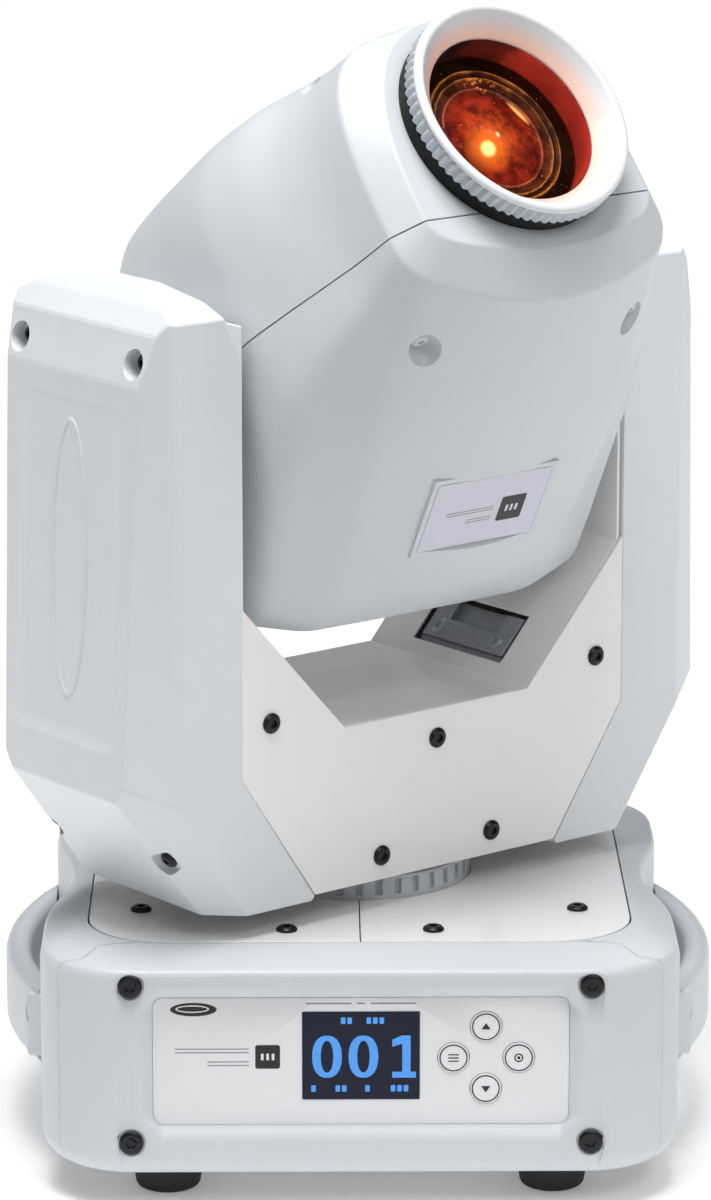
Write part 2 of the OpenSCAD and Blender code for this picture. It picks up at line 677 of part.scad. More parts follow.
// shallow panel on the outer face: sloping walls, deepest at its lower end
panel_low = 174;
panel_high = 303;
panel_half = 31;
panel_slant = atan2(6.6, 312 - 157);
function panel_loop(margin, rise, x_low, x_high) = [
    [x_low, -panel_half + margin, panel_low + rise], [x_low, panel_half - margin, panel_low + rise],
    [x_high, panel_half - margin, panel_high - margin], [x_high, -panel_half + margin, panel_high - margin]];
module outer_panel() {
    translate([arm_out, 0, 157]) rotate([0, -panel_slant, 0]) translate([0, 0, -157])
        loft([panel_loop(4.5, 10.5, -1.7, -0.4), panel_loop(0, 0, 0.5, 0.5)]);
}
module arm_cover_left() { arm_cover(-1); }
module arm_cover_right() { arm_cover(1); }
module arm_cover_screws() {
    color(dark) at_yoke() both_sides() {
        for (k = [-1, 1]) translate([arm_screw_seat, k * arm_screw_y, arm_screw_z])
            rotate([0, 90, 0]) screw(3.6, 2.2, 1.9, 12);
        for (k = [-1, 1]) translate([low_screw[0], k * low_screw[1], low_screw[2]])
            rotate([0, low_angle, 0]) screw(3.6, 2.2, 1.9, 12);
    }
}

// ---------- tilt drive, in the left arm ----------
tilt_r = 8;
tilt_pulley_r = 22;
tilt_motor_r = 8;
tilt_motor_z = 150;
tilt_belt_x = [104, 112];
module about_tilt_axis() { at_yoke() translate([0, 0, tilt_z]) rotate([0, -90, 0]) children(); }
module tilt_bearings() {
    color("silver") at_yoke() translate([0, 0, tilt_z]) both_sides() rotate([0, 90, 0])
        tube(bearing_r, tilt_r + 0.05, 91, 97.5);
}
module tilt_motor() {
    color(dark) at_yoke() translate([0, 0, tilt_motor_z]) {
        box([-89, -21, -21], [-57, 21, 21]);
        box([-90, -23.5, -22.5], [-88, 23.5, 23.5]);
        box([-90, -inner_d + 2, 10], [-88, inner_d - 2, 22]);
        rod_x(2.5, -113, -88);
    }
}
module tilt_motor_pulley() {
    color("silver") at_yoke() translate([0, 0, tilt_motor_z]) rotate([0, -90, 0])
        toothed_pulley(tilt_motor_r, 2.55, tilt_belt_x[0], tilt_belt_x[1], 12);
}
module tilt_belt() {
    color(dark) about_tilt_axis() rotate([0, 0, 90])
        belt(tilt_pulley_r, tilt_motor_r, tilt_z - tilt_motor_z, tilt_belt_x[0] + 0.5, tilt_belt_x[1] - 0.5);
}
module tilt_pulley() {
    color("silver") at_head() rotate([0, -90, 0])
        toothed_pulley(tilt_pulley_r, tilt_r, tilt_belt_x[0], tilt_belt_x[1], 33);
}
module tilt_shafts() {
    color("silver") at_head() both_sides() rotate([0, 90, 0]) difference() {
        union() {
            translate([0, 0, 64]) cylinder(r = tilt_r, h = 49);
            translate([0, 0, 61.5]) cylinder(r = 20, h = 4);
        }
        translate([0, 0, 50]) cylinder(r = 4.5, h = 70);
    }
}

// ---------- head ----------
// outline of the head across the beam: half width w, widest at y = mid, reaching front and back.
// The front half is faceted: the side turns at the outer crease, a corner facet runs to the inner
// crease and the front is bowed between (creases as shares of the width and of the front reach);
// sq is the back's squareness
function curve_at(a, b, c, t) = (1 - t) * (1 - t) * a + 2 * t * (1 - t) * b + t * t * c;
function toward(a, b, d) = mix(a, b, min(0.42, d / norm(b - a)));
function bowed(u, front, corner) = [corner[0] * u, front + (corner[1] - front) * u * u];
function front_quarter(side, front, outer, inner) = concat(
    [for (t = [0:0.25:1]) curve_at(toward(outer, side, 9), outer, toward(outer, inner, 7), t)],
    [for (t = [0:0.25:1]) curve_at(toward(inner, outer, 4.5), inner, bowed(0.91, front, inner), t)],
    [for (u = [0.6, 0.3]) bowed(u, front, inner)]);
function head_ring(w, mid, front, back, ax, ay, bx, by, sq) = let (
    quarter = front_quarter([w, mid], front, [bx * w, mix(mid, front, by)], [ax * w, mix(mid, front, ay)]))
    concat(
        [for (i = [0:23]) let (c = cos(7.5 * i), v = sin(7.5 * i))
            [w * sign(c) * pow(abs(c), 2 / sq), mix(mid, back, pow(v, 2 / sq))]],
        [[-w, mid]], [for (p = quarter) [-p[0], p[1]]],
        [[0, front]], [for (i = [1:len(quarter)]) quarter[len(quarter) - i]]);
head_sections = [
    [-66, 64, -64, 46, 0.6, 0.98, 0.93, 0.85, 3], [-60, 72, -75, 56, 0.6, 0.98, 0.93, 0.86, 3],
    [-44, 82, -92, 71, 0.6, 1, 0.93, 0.9, 3], [-28, 86, -99.4, 77, 0.6, 0.99, 0.93, 0.88, 3],
    [-12, 88, -101.4, 79, 0.6, 0.94, 0.92, 0.79, 3], [4, 89, -98, 79, 0.61, 0.89, 0.925, 0.71, 3],
    [27, 89, -87.4, 78, 0.64, 0.875, 0.95, 0.62, 3], [45, 87.5, -79, 77.5, 0.67, 0.85, 0.965, 0.55, 3],
    [62, 82, -71.1, 76.5, 0.72, 0.81, 0.99, 0.47, 3], [83, 73.5, -61.3, 74.5, 0.79, 0.72, 1, 0.42, 3],
    [97, 68, -54.8, 72, 0.85, 0.66, 1, 0.37, 3.1], [114, 63.5, -46.9, 70, 0.9, 0.6, 1, 0.33, 3.3],
    [124, 53.1, -31, 68.5, 0.9, 0.6, 1, 0.33, 2.4]];
function head_mid(z) = z > 90 ? mix(-13.4, -8, (z - 90) / 34) : -13.4;
module head_body(d) {
    loft([for (h = head_sections) let (z = h[0] < -50 ? h[0] + d : h[0] > 110 ? h[0] - d : h[0])
        [for (p = head_ring(h[1] - d, head_mid(h[0]), h[2] + d * 1.1, h[3] - d, h[4], h[5], h[6], h[7], h[8]))
            [p[0], p[1], z]]]);
}
head_wall = 2.6;
label_z = 27;
label_y = -87.4;
label_slope = 25;
label_half = [27.8, 15.5];
module at_label() { translate([0, label_y, label_z]) rotate([90 - label_slope, 0, 0]) children(); }
head_screw = [50, 90.5];
head_screw_seat = -42.5;
rear_screw_x = 46;
module head_shell() {
    difference() {
        head_body(0);
        head_body(head_wall);
        on_beam() translate([0, 0, 110]) cylinder(r = 41, h = 30);
        rod_x(10, -100, 100);
        // air slots at the rear end
        for (y = [-42:9:30]) box([-34, y - 2, -70], [34, y + 2, -58]);
    }
}
module head_shell_rear() {
    color(shell_white) at_head() difference() {
        intersection() { head_shell(); box([-120, -seam_y + 0.2, -100], [120, 120, 160]); }
        for (s = [-1, 1]) translate([s * rear_screw_x, 0, head_screw[1]]) {
            rod_y(4.6, 60, 100);
            rod_y(2, 40, 100);
        }
    }
}
module head_shell_front() {
    color(shell_white) at_head() difference() {
        union() {
            intersection() { head_shell(); box([-120, -140, -100], [120, -seam_y - 0.2, 160]); }
            intersection() {
                head_body(0.3);
                at_label() box([-label_half[0] - 4, -label_half[1] - 4, -5],
                    [label_half[0] + 4, label_half[1] + 4, 4]);
            }
            for (s = [-1, 1]) intersection() {
                head_body(0.3);
                translate([s * head_screw[0], 0, head_screw[1]]) rod_y(7, -70, -38.3);
            }
        }
        for (s = [-1, 1]) translate([s * head_screw[0], 0, head_screw[1]]) {
            rod_y(4.6, -90, head_screw_seat);
            rod_y(2, -60, -36);
        }
        at_label() box([-label_half[0], -label_half[1], -1.6], [label_half[0], label_half[1], 12]);
    }
}
module label_plate() {
    color([0.75, 0.75, 0.82]) at_head() at_label()
        box([-label_half[0] + 0.2, -label_half[1] + 0.2, -1.6],
            [label_half[0] - 0.2, label_half[1] - 0.2, -0.9]);
}
module head_screws() {
    color(dark) at_head() for (s = [-1, 1]) {
        translate([s * head_screw[0], head_screw_seat, head_screw[1]]) rotate([90, 0, 0])
            screw(3.6, 2.2, 1.9, 10);
        translate([s * rear_screw_x, 60, head_screw[1]]) rotate([-90, 0, 0]) screw(3.6, 2.2, 1.9, 16);
    }
}

frame_x = 58;
wheel_arm = 24;
spindle_r = 2.5;
module head_frame() {
    color(steel) at_head() difference() {
        union() {
            for (s = [-1, 1]) {
                box([s * frame_x - 1, -40, -44], [s * frame_x + 1, 44, 80]);
                rotate([0, 90, 0]) translate([0, 0, s > 0 ? frame_x : -frame_x - 3.5])
                    cylinder(r = 20, h = 3.5);
            }
            for (z = [-4, 56]) box([-frame_x, -46, z], [frame_x, 44, z + 2]);
            // spindle of the two filter wheels
            translate([0, beam_off - wheel_arm, -3]) cylinder(r = spindle_r, h = 60);
            // ears that the shells are screwed to
            both_sides() {
                box([44, -38, 76], [54, -35.5, 95]);
                box([39, 43.5, 76], [54, 46.5, 97]);
                box([50, -38, 74], [58, 46, 80]);
            }
        }
        on_beam() translate([0, 0, -10]) cylinder(r = 22, h = 90);
        rod_x(4.5, -80, 80);
        for (s = [-1, 1]) {
            translate([s * head_screw[0], 0, head_screw[1]]) rod_y(1.95, -50, -30);
            translate([s * rear_screw_x, 0, head_screw[1]]) rod_y(1.95, 40, 60);
        }
    }
}

module led_engine() {
    at_head() on_beam() {
        color("seagreen") box([-16, -16, -20], [16, 16, -18]);
        color("gold") difference() {
            translate([0, 0, -18]) cylinder(r1 = 10, r2 = 20, h = 13.5);
            translate([0, 0, -17]) cylinder(r1 = 8.5, r2 = 18.6, h = 13);
        }
    }
}
module heat_sink() {
    color("silver") at_head() {
        box([-frame_x + 1, -44, -26], [frame_x - 1, 44, -20]);
        for (x = [-42:6:42]) box([x - 0.8, -44, -44], [x + 0.8, 44, -25]);
    }
}
fan_r = 27;
module fan_frame() {
    color(dark) at_head() difference() {
        box([-30, -34, -58.5], [30, 26, -44]);
        translate([0, -4, -70]) cylinder(r = fan_r + 1.5, h = 40);
    }
    color(dark) at_head() translate([0, -4, -48]) {
        cylinder(r = 9, h = 2);
        translate([0, 0, -9]) cylinder(r = 2, h = 10);
        for (a = [45, 135]) rotate([0, 0, a]) box([-29, -1.5, 0], [29, 1.5, 2]);
    }
}
module fan_rotor() {
    color(dark) at_head() translate([0, -4, -57.5]) {
        tube(11, 2.05, 0, 9);
        for (i = [0:6]) rotate([0, 0, i * 360 / 7]) translate([10.5, 0, 4.5]) rotate([38, 0, 0])
            box([0, -0.6, -4.6], [fan_r - 12, 0.6, 4.6]);
    }
}

// a filter wheel whose openings pass through the beam one after the other
module wheel(z, t, r, openings, hole_r) {
    difference() {
        union() {
            translate([0, 0, z]) cylinder(r = r, h = t);
            translate([0, 0, z - 2]) cylinder(r = 6, h = t + 4);
        }
        translate([0, 0, z - 3]) cylinder(r = spindle_r + 0.05, h = t + 6);
        for (i = [0:openings - 1]) rotate([0, 0, 90 + 360 * i / openings]) translate([wheel_arm, 0, z - 1])
            cylinder(r = hole_r, h = t + 2);
    }
}
module at_wheel() { at_head() translate([0, beam_off - wheel_arm, 0]) children(); }
module colour_wheel() { color("orange") at_wheel() wheel(12, 1.2, 33, 8, 7.6); }
module gobo_wheel() { color("silver") at_wheel() wheel(22, 1, 34, 7, 8.2); }

barrel_r = 38;
sleeve_r = 40;
module lens_barrel() { color(dark) at_head() on_beam() difference() {
    union() {
        translate([0, 0, 58]) cylinder(r = barrel_r, h = 71.9);
        translate([0, 0, 58]) cylinder(r = barrel_r + 5, h = 2);
    }
    translate([0, 0, 50]) cylinder(r = 36, h = 90);
} }
neck_r = 43.5;
module neck_ring() { color(dark) at_head() on_beam() tube(neck_r, sleeve_r + 0.3, 124.1, 130); }
module front_lens() {
    color([0.95, 0.45, 0.15]) at_head() on_beam() {
        translate([0, 0, 121]) intersection() {
            cylinder(r = lens_r, h = 12);
            translate([0, 0, -50]) sphere(r = 60, $fn = 96);
        }
        tube(35.9, lens_r - 0.2, 112, 129.5);
    }
}
// grip teeth outside, a smooth funnel inside, and a sleeve that turns on the lens barrel
module focus_ring() {
    color(shell_white) at_head() on_beam() difference() {
        rotate_extrude($fn = 144) polygon([
            [barrel_r + 0.05, 118], [sleeve_r, 118], [sleeve_r, 130.3], [ring_r, 130.3], [ring_r, ring_top - 2.2],
            [ring_r - 0.5, ring_top - 0.7], [ring_r - 1.6, ring_top], [43, ring_top], [41.6, ring_top - 0.8],
            [34.6, 131.6], [34.4, 130.9], [34.4, 130.3], [barrel_r + 0.05, 130.3]]);
        for (i = [0:ring_teeth - 1]) rotate([0, 0, 360 * i / ring_teeth])
            translate([ring_r + 0.5, 0, 130]) cylinder(r = 1.3, h = ring_top - 132.6, $fn = 12);
    }
}

base_chassis();
front_bezel();
rear_bezel();
side_shell_left();
side_shell_right();
handle_left();
handle_right();
top_plate_left();
top_plate_right();
control_panel();
display();
button_up();
button_down();
button_menu();
button_enter();
bezel_screws();
top_plate_screws();
handle_screws();
rubber_feet();
power_inlet();
data_input_socket();
data_output_socket();
power_supply();
main_board();
vent_collar();
pan_bearing();
pan_motor();
pan_motor_pulley();
pan_belt();
pan_shaft();
pan_pulley();
yoke_frame();
yoke_front_plate();
yoke_rear_plate();
arm_cover_left();
arm_cover_right();
yoke_plate_screws();
arm_cover_screws();
yoke_bracket();
tilt_motor();
tilt_motor_pulley();
tilt_belt();
tilt_bearings();
tilt_shafts();
tilt_pulley();
head_frame();
head_shell_rear();
head_shell_front();
neck_ring();
head_screws();
label_plate();
led_engine();
heat_sink();
fan_frame();
fan_rotor();
colour_wheel();
gobo_wheel();
lens_barrel();
front_lens();
focus_ring();
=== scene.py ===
import json
from math import asin, atan2, copysign, cos, degrees, pi, radians, sin, sqrt

import bpy
import numpy as np
from mathutils import Matrix, Vector


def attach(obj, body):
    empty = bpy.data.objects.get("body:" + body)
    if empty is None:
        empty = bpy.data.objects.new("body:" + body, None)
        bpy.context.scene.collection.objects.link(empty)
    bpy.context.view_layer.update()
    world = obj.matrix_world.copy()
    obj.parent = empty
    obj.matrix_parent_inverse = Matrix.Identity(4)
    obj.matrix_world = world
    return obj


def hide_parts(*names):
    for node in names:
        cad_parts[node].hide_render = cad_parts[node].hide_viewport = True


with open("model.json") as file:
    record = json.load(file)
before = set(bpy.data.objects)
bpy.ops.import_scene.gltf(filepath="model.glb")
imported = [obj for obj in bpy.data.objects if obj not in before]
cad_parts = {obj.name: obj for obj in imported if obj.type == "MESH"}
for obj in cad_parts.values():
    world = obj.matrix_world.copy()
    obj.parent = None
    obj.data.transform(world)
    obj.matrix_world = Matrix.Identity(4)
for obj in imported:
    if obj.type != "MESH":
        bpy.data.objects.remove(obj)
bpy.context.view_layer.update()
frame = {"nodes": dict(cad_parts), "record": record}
record = frame["record"]
joints = {j["name"]: j for j in record["behaviour"]["joints"]}
MM = 0.001
SOLVER = "MANIFOLD"

# -------------------- frames
tilt_axis = Vector(joints["tilt"]["axis"]).normalized()
tilt_pos = Vector(joints["tilt"]["pos_m"])
beam = Vector(joints["focus_turn"]["axis"]).normalized()
YOKE = Matrix.Rotation(atan2(tilt_axis.y, tilt_axis.x), 4, "Z")
head_y = beam.cross(tilt_axis)
HEAD = Matrix((tilt_axis, head_y, beam)).transposed().to_4x4()
HEAD.translation = tilt_pos
# the beam's offset from the tilt axis and the height of the shells' seam, in the head's own millimetres
BEAM_OFF, SEAM_Y = 19.6, -13.4


def shift(x, y, z):
    """A move in millimetres."""
    return Matrix.Translation(Vector((x, y, z)) * MM)


# -------------------- material nodes
class Nodes:
    """A short way to write a material's node tree."""

    def __init__(self, name):
        self.mat = bpy.data.materials.new(name)
        self.mat.use_nodes = True
        self.tree = self.mat.node_tree
        self.tree.nodes.clear()
        self.out = self.tree.nodes.new("ShaderNodeOutputMaterial")
        self.coord = self.add("ShaderNodeTexCoord").outputs["Object"]

    def add(self, kind, inputs=None, **fields):
        n = self.tree.nodes.new(kind)
        for k, v in fields.items():
            setattr(n, k, v)
        for k, v in (inputs or {}).items():
            self.put(n.inputs[k], v)
        return n

    def put(self, socket, value):
        if isinstance(value, bpy.types.NodeSocket):
            self.tree.links.new(value, socket)
        else:
            socket.default_value = value

    def noise(self, scale, detail=3.0, rough=0.5, stretch=None):
        vec = self.coord
        if stretch:
            vec = self.add("ShaderNodeMapping", {"Vector": vec, "Scale": stretch}).outputs[0]
        inputs = {"Vector": vec, "Scale": scale, "Detail": detail, "Roughness": rough}
        return self.add("ShaderNodeTexNoise", inputs).outputs["Fac"]

    def ramp(self, fac, stops):
        n = self.add("ShaderNodeValToRGB", {"Fac": fac})
        while len(n.color_ramp.elements) < len(stops):
            n.color_ramp.elements.new(0.5)
        for e, (p, c) in zip(n.color_ramp.elements, stops):
            e.position = p
            e.color = (*c, 1) if len(c) == 3 else c
        return n.outputs["Color"]

    def span(self, fac, lo, hi, a=0.3, b=0.7):
        """Maps a to b onto lo to hi, clamped."""
        inputs = {"Value": fac, "From Min": a, "From Max": b, "To Min": lo, "To Max": hi}
        return self.add("ShaderNodeMapRange", inputs).outputs["Result"]

    def bump(self, height, strength, distance, normal=None):
        inputs = {"Height": height, "Strength": strength, "Distance": distance}
        if normal is not None:
            inputs["Normal"] = normal
        return self.add("ShaderNodeBump", inputs).outputs["Normal"]

    def surface(self, **inputs):
        named = {k.replace("_", " "): v for k, v in inputs.items()}
        bsdf = self.add("ShaderNodeBsdfPrincipled", named)
        self.tree.links.new(bsdf.outputs[0], self.out.inputs[0])
        return self.mat


def math_node(n, operation, a, b):
    return n.add("ShaderNodeMath", {0: a, 1: b}, operation=operation).outputs[0]


def vector_node(n, operation, a, b, out=0):
    return n.add("ShaderNodeVectorMath", {0: a, 1: b}, operation=operation).outputs[out]


def length(n, v):
    return n.add("ShaderNodeVectorMath", {0: v}, operation="LENGTH").outputs["Value"]


def over(n, fac, under, top, blend="MIX"):
    """One colour laid over another by a factor."""
    inputs = {"Factor": fac, "A": under, "B": top}
    return n.add("ShaderNodeMix", inputs, data_type="RGBA", blend_type=blend).outputs["Result"]


def shade(color, k):
    return tuple(min(1.0, c * k) for c in color)


def moulded(name, color, rough=0.38, grain=1100.0, depth=0.00004, coat=0.0, spec=0.5):
    """Moulded plastic: a fine spark-eroded grain, faint flow marks and handling variation."""
    n = Nodes(name)
    big = n.noise(9.0, 4.0, 0.55)
    mid = n.noise(60.0, 3.0, 0.6)
    tone = n.ramp(big, [(0.2, shade(color, 0.988)), (0.8, shade(color, 1.008))])
    worn = n.ramp(mid, [(0.3, (0.985, 0.985, 0.985)), (0.7, (1, 1, 1))])
    col = over(n, 1.0, tone, worn, "MULTIPLY")
    fine = n.noise(grain, 2.0, 0.6)
    wave = n.noise(140.0, 2.0, 0.5)
    normal = n.bump(wave, 0.10, 0.0004, n.bump(fine, 0.22, depth))
    r = n.span(mid, rough - 0.02, rough + 0.03)
    return n.surface(Base_Color=col, Roughness=r, Normal=normal, Specular_IOR_Level=spec,
                     Coat_Weight=coat, Coat_Roughness=0.2)


def painted(name, color, rough=0.24, coat=0.35):
    """Powder coat on sheet metal: orange peel, faint mottling, gloss that varies."""
    n = Nodes(name)
    big = n.noise(7.0, 3.0, 0.5)
    tone = n.ramp(big, [(0.2, shade(color, 0.992)), (0.8, shade(color, 1.006))])
    peel = n.noise(420.0, 1.0, 0.4)
    flake = n.noise(2400.0, 1.0, 0.5)
    normal = n.bump(peel, 0.16, 0.00012, n.bump(flake, 0.10, 0.00002))
    r = n.span(n.noise(18.0, 1.0, 0.5), rough - 0.01, rough + 0.02)
    return n.surface(Base_Color=tone, Roughness=r, Normal=normal, Coat_Weight=coat, Coat_Roughness=0.15)


def metal(name, color, rough, stretch=(1, 1, 14), metallic=1.0, marks=260.0):
    n = Nodes(name)
    brushed = n.noise(marks, 3.0, 0.65, stretch)
    tone = n.ramp(brushed, [(0.3, shade(color, 0.8)), (0.7, shade(color, 1.12))])
    r = n.span(n.noise(90.0, 3.0, 0.6), rough - 0.06, rough + 0.1)
    return n.surface(Base_Color=tone, Roughness=r, Metallic=metallic, Normal=n.bump(brushed, 0.15, 0.00003))


def rubber(name, color):
    n = Nodes(name)
    dust = n.noise(120.0, 5.0, 0.7)
    tone = n.ramp(dust, [(0.35, color), (0.75, shade(color, 2.2))])
    return n.surface(Base_Color=tone, Roughness=n.span(dust, 0.62, 0.85),
                     Normal=n.bump(n.noise(1500.0, 3.0, 0.6), 0.35, 0.00006))


def ink(name, color, rough=0.45):
    n = Nodes(name)
    speck = n.noise(900.0, 3.0, 0.6)
    return n.surface(Base_Color=n.ramp(speck, [(0.3, shade(color, 0.9)), (0.7, shade(color, 1.15))]),
                     Roughness=n.span(speck, rough - 0.05, rough + 0.08), Normal=n.bump(speck, 0.05, 0.00002))


M = {
    # painted light and shade: the head, arms and base are one white plastic in three shades, the arms lighter
    # and the head and base darker, for how light falls on them
    "shell": moulded("head_plastic_painted_shade", (0.655, 0.69, 0.715)),
    "arm": moulded("arm_plastic_painted_light", (0.78, 0.81, 0.835)),
    "base": moulded("base_plastic_painted_shade", (0.66, 0.695, 0.725)),
    "plate": painted("plate_paint_white", (0.91, 0.90, 0.895)),
    "film": moulded("panel_film_white", (0.86, 0.865, 0.88), rough=0.33, grain=2600.0, depth=0.00001),
    "lilac": moulded("label_film_lilac", (0.66, 0.66, 0.76), rough=0.3, grain=2400.0, depth=0.00001),
    "screw": metal("screw_black_oxide", (0.028, 0.028, 0.03), 0.34, (1, 1, 1), 0.75, 700.0),
    "rubber": rubber("foot_rubber_black", (0.016, 0.016, 0.017)),
    "black": moulded("black_plastic", (0.007, 0.007, 0.008), rough=0.5, grain=900.0, depth=0.00006,
                      spec=0.22),
    "steel": metal("zinc_sheet", (0.56, 0.57, 0.59), 0.34),
    "bright": metal("machined_aluminium", (0.74, 0.75, 0.77), 0.28, (1, 12, 1)),
    "bracket": metal("bracket_steel", (0.42, 0.43, 0.45), 0.42, (10, 1, 1), 0.7),
    "board": painted("board_green", (0.02, 0.16, 0.07), 0.35, 0.3),
    "black_ink": ink("print_black", (0.014, 0.014, 0.016)),
    "grey_ink": ink("print_grey", (0.30, 0.30, 0.33)),
    "brass": metal("contact_brass", (0.75, 0.55, 0.22), 0.25, (1, 1, 1)),
}


def screen_material():
    n = Nodes("display_glass_dark")
    grid = n.noise(3000.0, 1.0, 0.5)
    col = n.ramp(grid, [(0.3, (0.003, 0.004, 0.014)), (0.7, (0.005, 0.008, 0.026))])
    return n.surface(Base_Color=col, Roughness=n.span(n.noise(40.0), 0.10, 0.18),
                     Emission_Color=(0.01, 0.02, 0.07, 1), Emission_Strength=0.08, Specular_IOR_Level=0.25,
                     Normal=n.bump(grid, 0.03, 0.00001))


def glow_material(name, color, strength, scale=1800.0):
    n = Nodes(name)
    grid = n.noise(scale, 2.0, 0.5)
    col = n.ramp(grid, [(0.3, shade(color, 0.8)), (0.7, shade(color, 1.1))])
    return n.surface(Base_Color=(0.01, 0.01, 0.02, 1), Roughness=0.3, Emission_Color=col,
                     Emission_Strength=strength)


M["screen"] = screen_material()
M["digits"] = glow_material("display_digits_blue", (0.06, 0.30, 0.80), 1.1)


# -------------------- mesh helpers
def new_object(name, data):
    ob = bpy.data.objects.new(name, data)
    bpy.context.scene.collection.objects.link(ob)
    return ob


def mesh_object(name, verts, faces, place=None, smooth=True):
    me = bpy.data.meshes.new(name)
    me.from_pydata([tuple(v) for v in np.asarray(verts, float) * MM], [], faces)
    me.validate()
    me.polygons.foreach_set("use_smooth", [smooth] * len(me.polygons))
    if place is not None:
        me.transform(place)
    me.update()
    return new_object(name, me)


def tube_faces(rows, cols, joined=False):
    """Quads between closed rings of points; joined also ties the last ring to the first."""
    out = []
    for k in range(rows if joined else rows - 1):
        a, b = k * cols, (k + 1) % rows * cols
        out += [(a + c, a + (c + 1) % cols, b + (c + 1) % cols, b + c) for c in range(cols)]
    return out


def lofted(name, rings, place=None, smooth=True):
    """A closed solid through rings of points that run anticlockwise, seen from the last ring."""
    rings = [np.asarray(r, float) for r in rings]
    n = len(rings[0])
    faces = tube_faces(len(rings), n)
    faces.append(tuple(range(n - 1, -1, -1)))
    faces.append(tuple(range(n * (len(rings) - 1), n * len(rings))))
    return mesh_object(name, np.concatenate(rings), faces, place, smooth)


def prism(name, outline, lo, hi, place=None, smooth=False):
    return lofted(name, [[(x, y, z) for x, y in outline] for z in (lo, hi)], place, smooth)


def boxy(name, lo, hi, place=None):
    (a, b, c), (d, e, f) = lo, hi
    return prism(name, [(a, b), (d, b), (d, e), (a, e)], c, f, place)


def disc_outline(r, n=64, x=0.0, y=0.0):
    return [(x + r * cos(2 * pi * i / n), y + r * sin(2 * pi * i / n)) for i in range(n)]


def rounded_rect(w, h, r, n=8, x=0.0, y=0.0):
    pts = []
    for cx, cy, a0 in ((w - r, h - r, 0), (-w + r, h - r, 90), (-w + r, -h + r, 180), (w - r, -h + r, 270)):
        for i in range(n + 1):
            a = radians(a0 + 90 * i / n)
            pts.append((x + cx + r * cos(a), y + cy + r * sin(a)))
    return pts


def spun(name, profile, n=128, place=None):
    """A solid of revolution about z, from a closed profile of (radius, z) that runs anticlockwise."""
    rings = []
    for r, z in profile:
        a = np.arange(n) * 2 * pi / n
        rings.append(np.stack([r * np.cos(a), r * np.sin(a), np.full(n, z)], 1))
    return mesh_object(name, np.concatenate(rings), tube_faces(len(profile), n, True), place)


def rod(name, r, start, end, place=None, n=48):
    """A cylinder cutter from one point to another."""
    s, e = Vector(start), Vector(end)
    turn = (e - s).to_track_quat("Z", "Y").to_matrix().to_4x4()
    turn.translation = s
    rings = [[turn @ Vector((x, y, z)) for x, y in disc_outline(r, n)] for z in (0.0, (e - s).length)]
    return lofted(name, rings, place, False)


def weld(ob, dist=1e-5):
    m = ob.modifiers.new("weld", "WELD")
    m.merge_threshold = dist


def bevel(ob, width, segments=2, angle=30.0, clamp=False):
    m = ob.modifiers.new("bevel", "BEVEL")
    m.width, m.segments, m.limit_method = width * MM, segments, "ANGLE"
    m.angle_limit, m.use_clamp_overlap = radians(angle), clamp
    m.harden_normals = False
    m.miter_outer = "MITER_ARC"


def flatten(ob, angle=0.6):
    m = ob.modifiers.new("flat", "DECIMATE")
    m.decimate_type, m.angle_limit = "DISSOLVE", radians(angle)


def weighted(ob, keep=False):
    m = ob.modifiers.new("normals", "WEIGHTED_NORMAL")
    m.weight, m.keep_sharp = 90, keep


def cut(ob, cutters, operation="DIFFERENCE"):
    """Cuts ob with each cutter in turn, applies everything on it and removes the cutters."""
    for c in cutters:
        m = ob.modifiers.new("cut", "BOOLEAN")
        m.operation, m.object, m.solver = operation, c, SOLVER
    bake(ob)
    for c in cutters:
        bpy.data.objects.remove(c)
    return ob


def bake(ob):
    deps = bpy.context.evaluated_depsgraph_get()
    me = bpy.data.meshes.new_from_object(ob.evaluated_get(deps))
    old = ob.data
    ob.modifiers.clear()
    ob.data = me
    bpy.data.meshes.remove(old)
    return ob


def sharpen(ob, angle=32.0):
    """Smooth shading with crisp edges above the angle."""
    me = ob.data
    me.polygons.foreach_set("use_smooth", [True] * len(me.polygons))
    me.set_sharp_from_angle(angle=radians(angle))


def soften(ob, width):
    bevel(ob, width, 2, 40)
    bake(ob)
    sharpen(ob, 40)


def finish_piece(ob, mat, body, nodes=()):
    ob.data.materials.clear()
    ob.data.materials.append(mat)
    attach(ob, body)
    if nodes:
        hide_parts(*nodes)
    return ob


# -------------------- head shells
# height along the beam, half width, front and back reach, then the shares of width and front reach
# where the front's facets turn (inner crease, then outer crease) and the back's squareness
SECTIONS = np.array([
    [-66, 64, -64, 46, 0.6, 0.98, 0.93, 0.85, 3], [-60, 72, -75, 56, 0.6, 0.98, 0.93, 0.86, 3],
    [-44, 82, -92, 71, 0.6, 1, 0.93, 0.9, 3], [-28, 86, -99.4, 77, 0.6, 0.99, 0.93, 0.89, 3],
    [-12, 88, -101.4, 79, 0.6, 0.94, 0.92, 0.79, 3.5], [4, 89, -98, 79, 0.61, 0.89, 0.925, 0.71, 3.5],
    [27, 89, -87.4, 78, 0.64, 0.875, 0.95, 0.62, 3.5], [45, 87.5, -79, 77.5, 0.67, 0.85, 0.965, 0.55, 3.5],
    [62, 82, -71.1, 76.5, 0.72, 0.81, 0.99, 0.47, 3.5], [83, 73.5, -61.3, 74.5, 0.79, 0.72, 1, 0.42, 3],
    [97, 68, -54.8, 72, 0.85, 0.66, 1, 0.37, 3.1], [114, 63.5, -46.9, 70, 0.9, 0.6, 1, 0.33, 3.3],
    [124, 53.1, -31, 68.5, 0.9, 0.6, 1, 0.33, 2.4]])
SHOULDER, NOSE, TAIL = 114.0, 124.0, -66.0


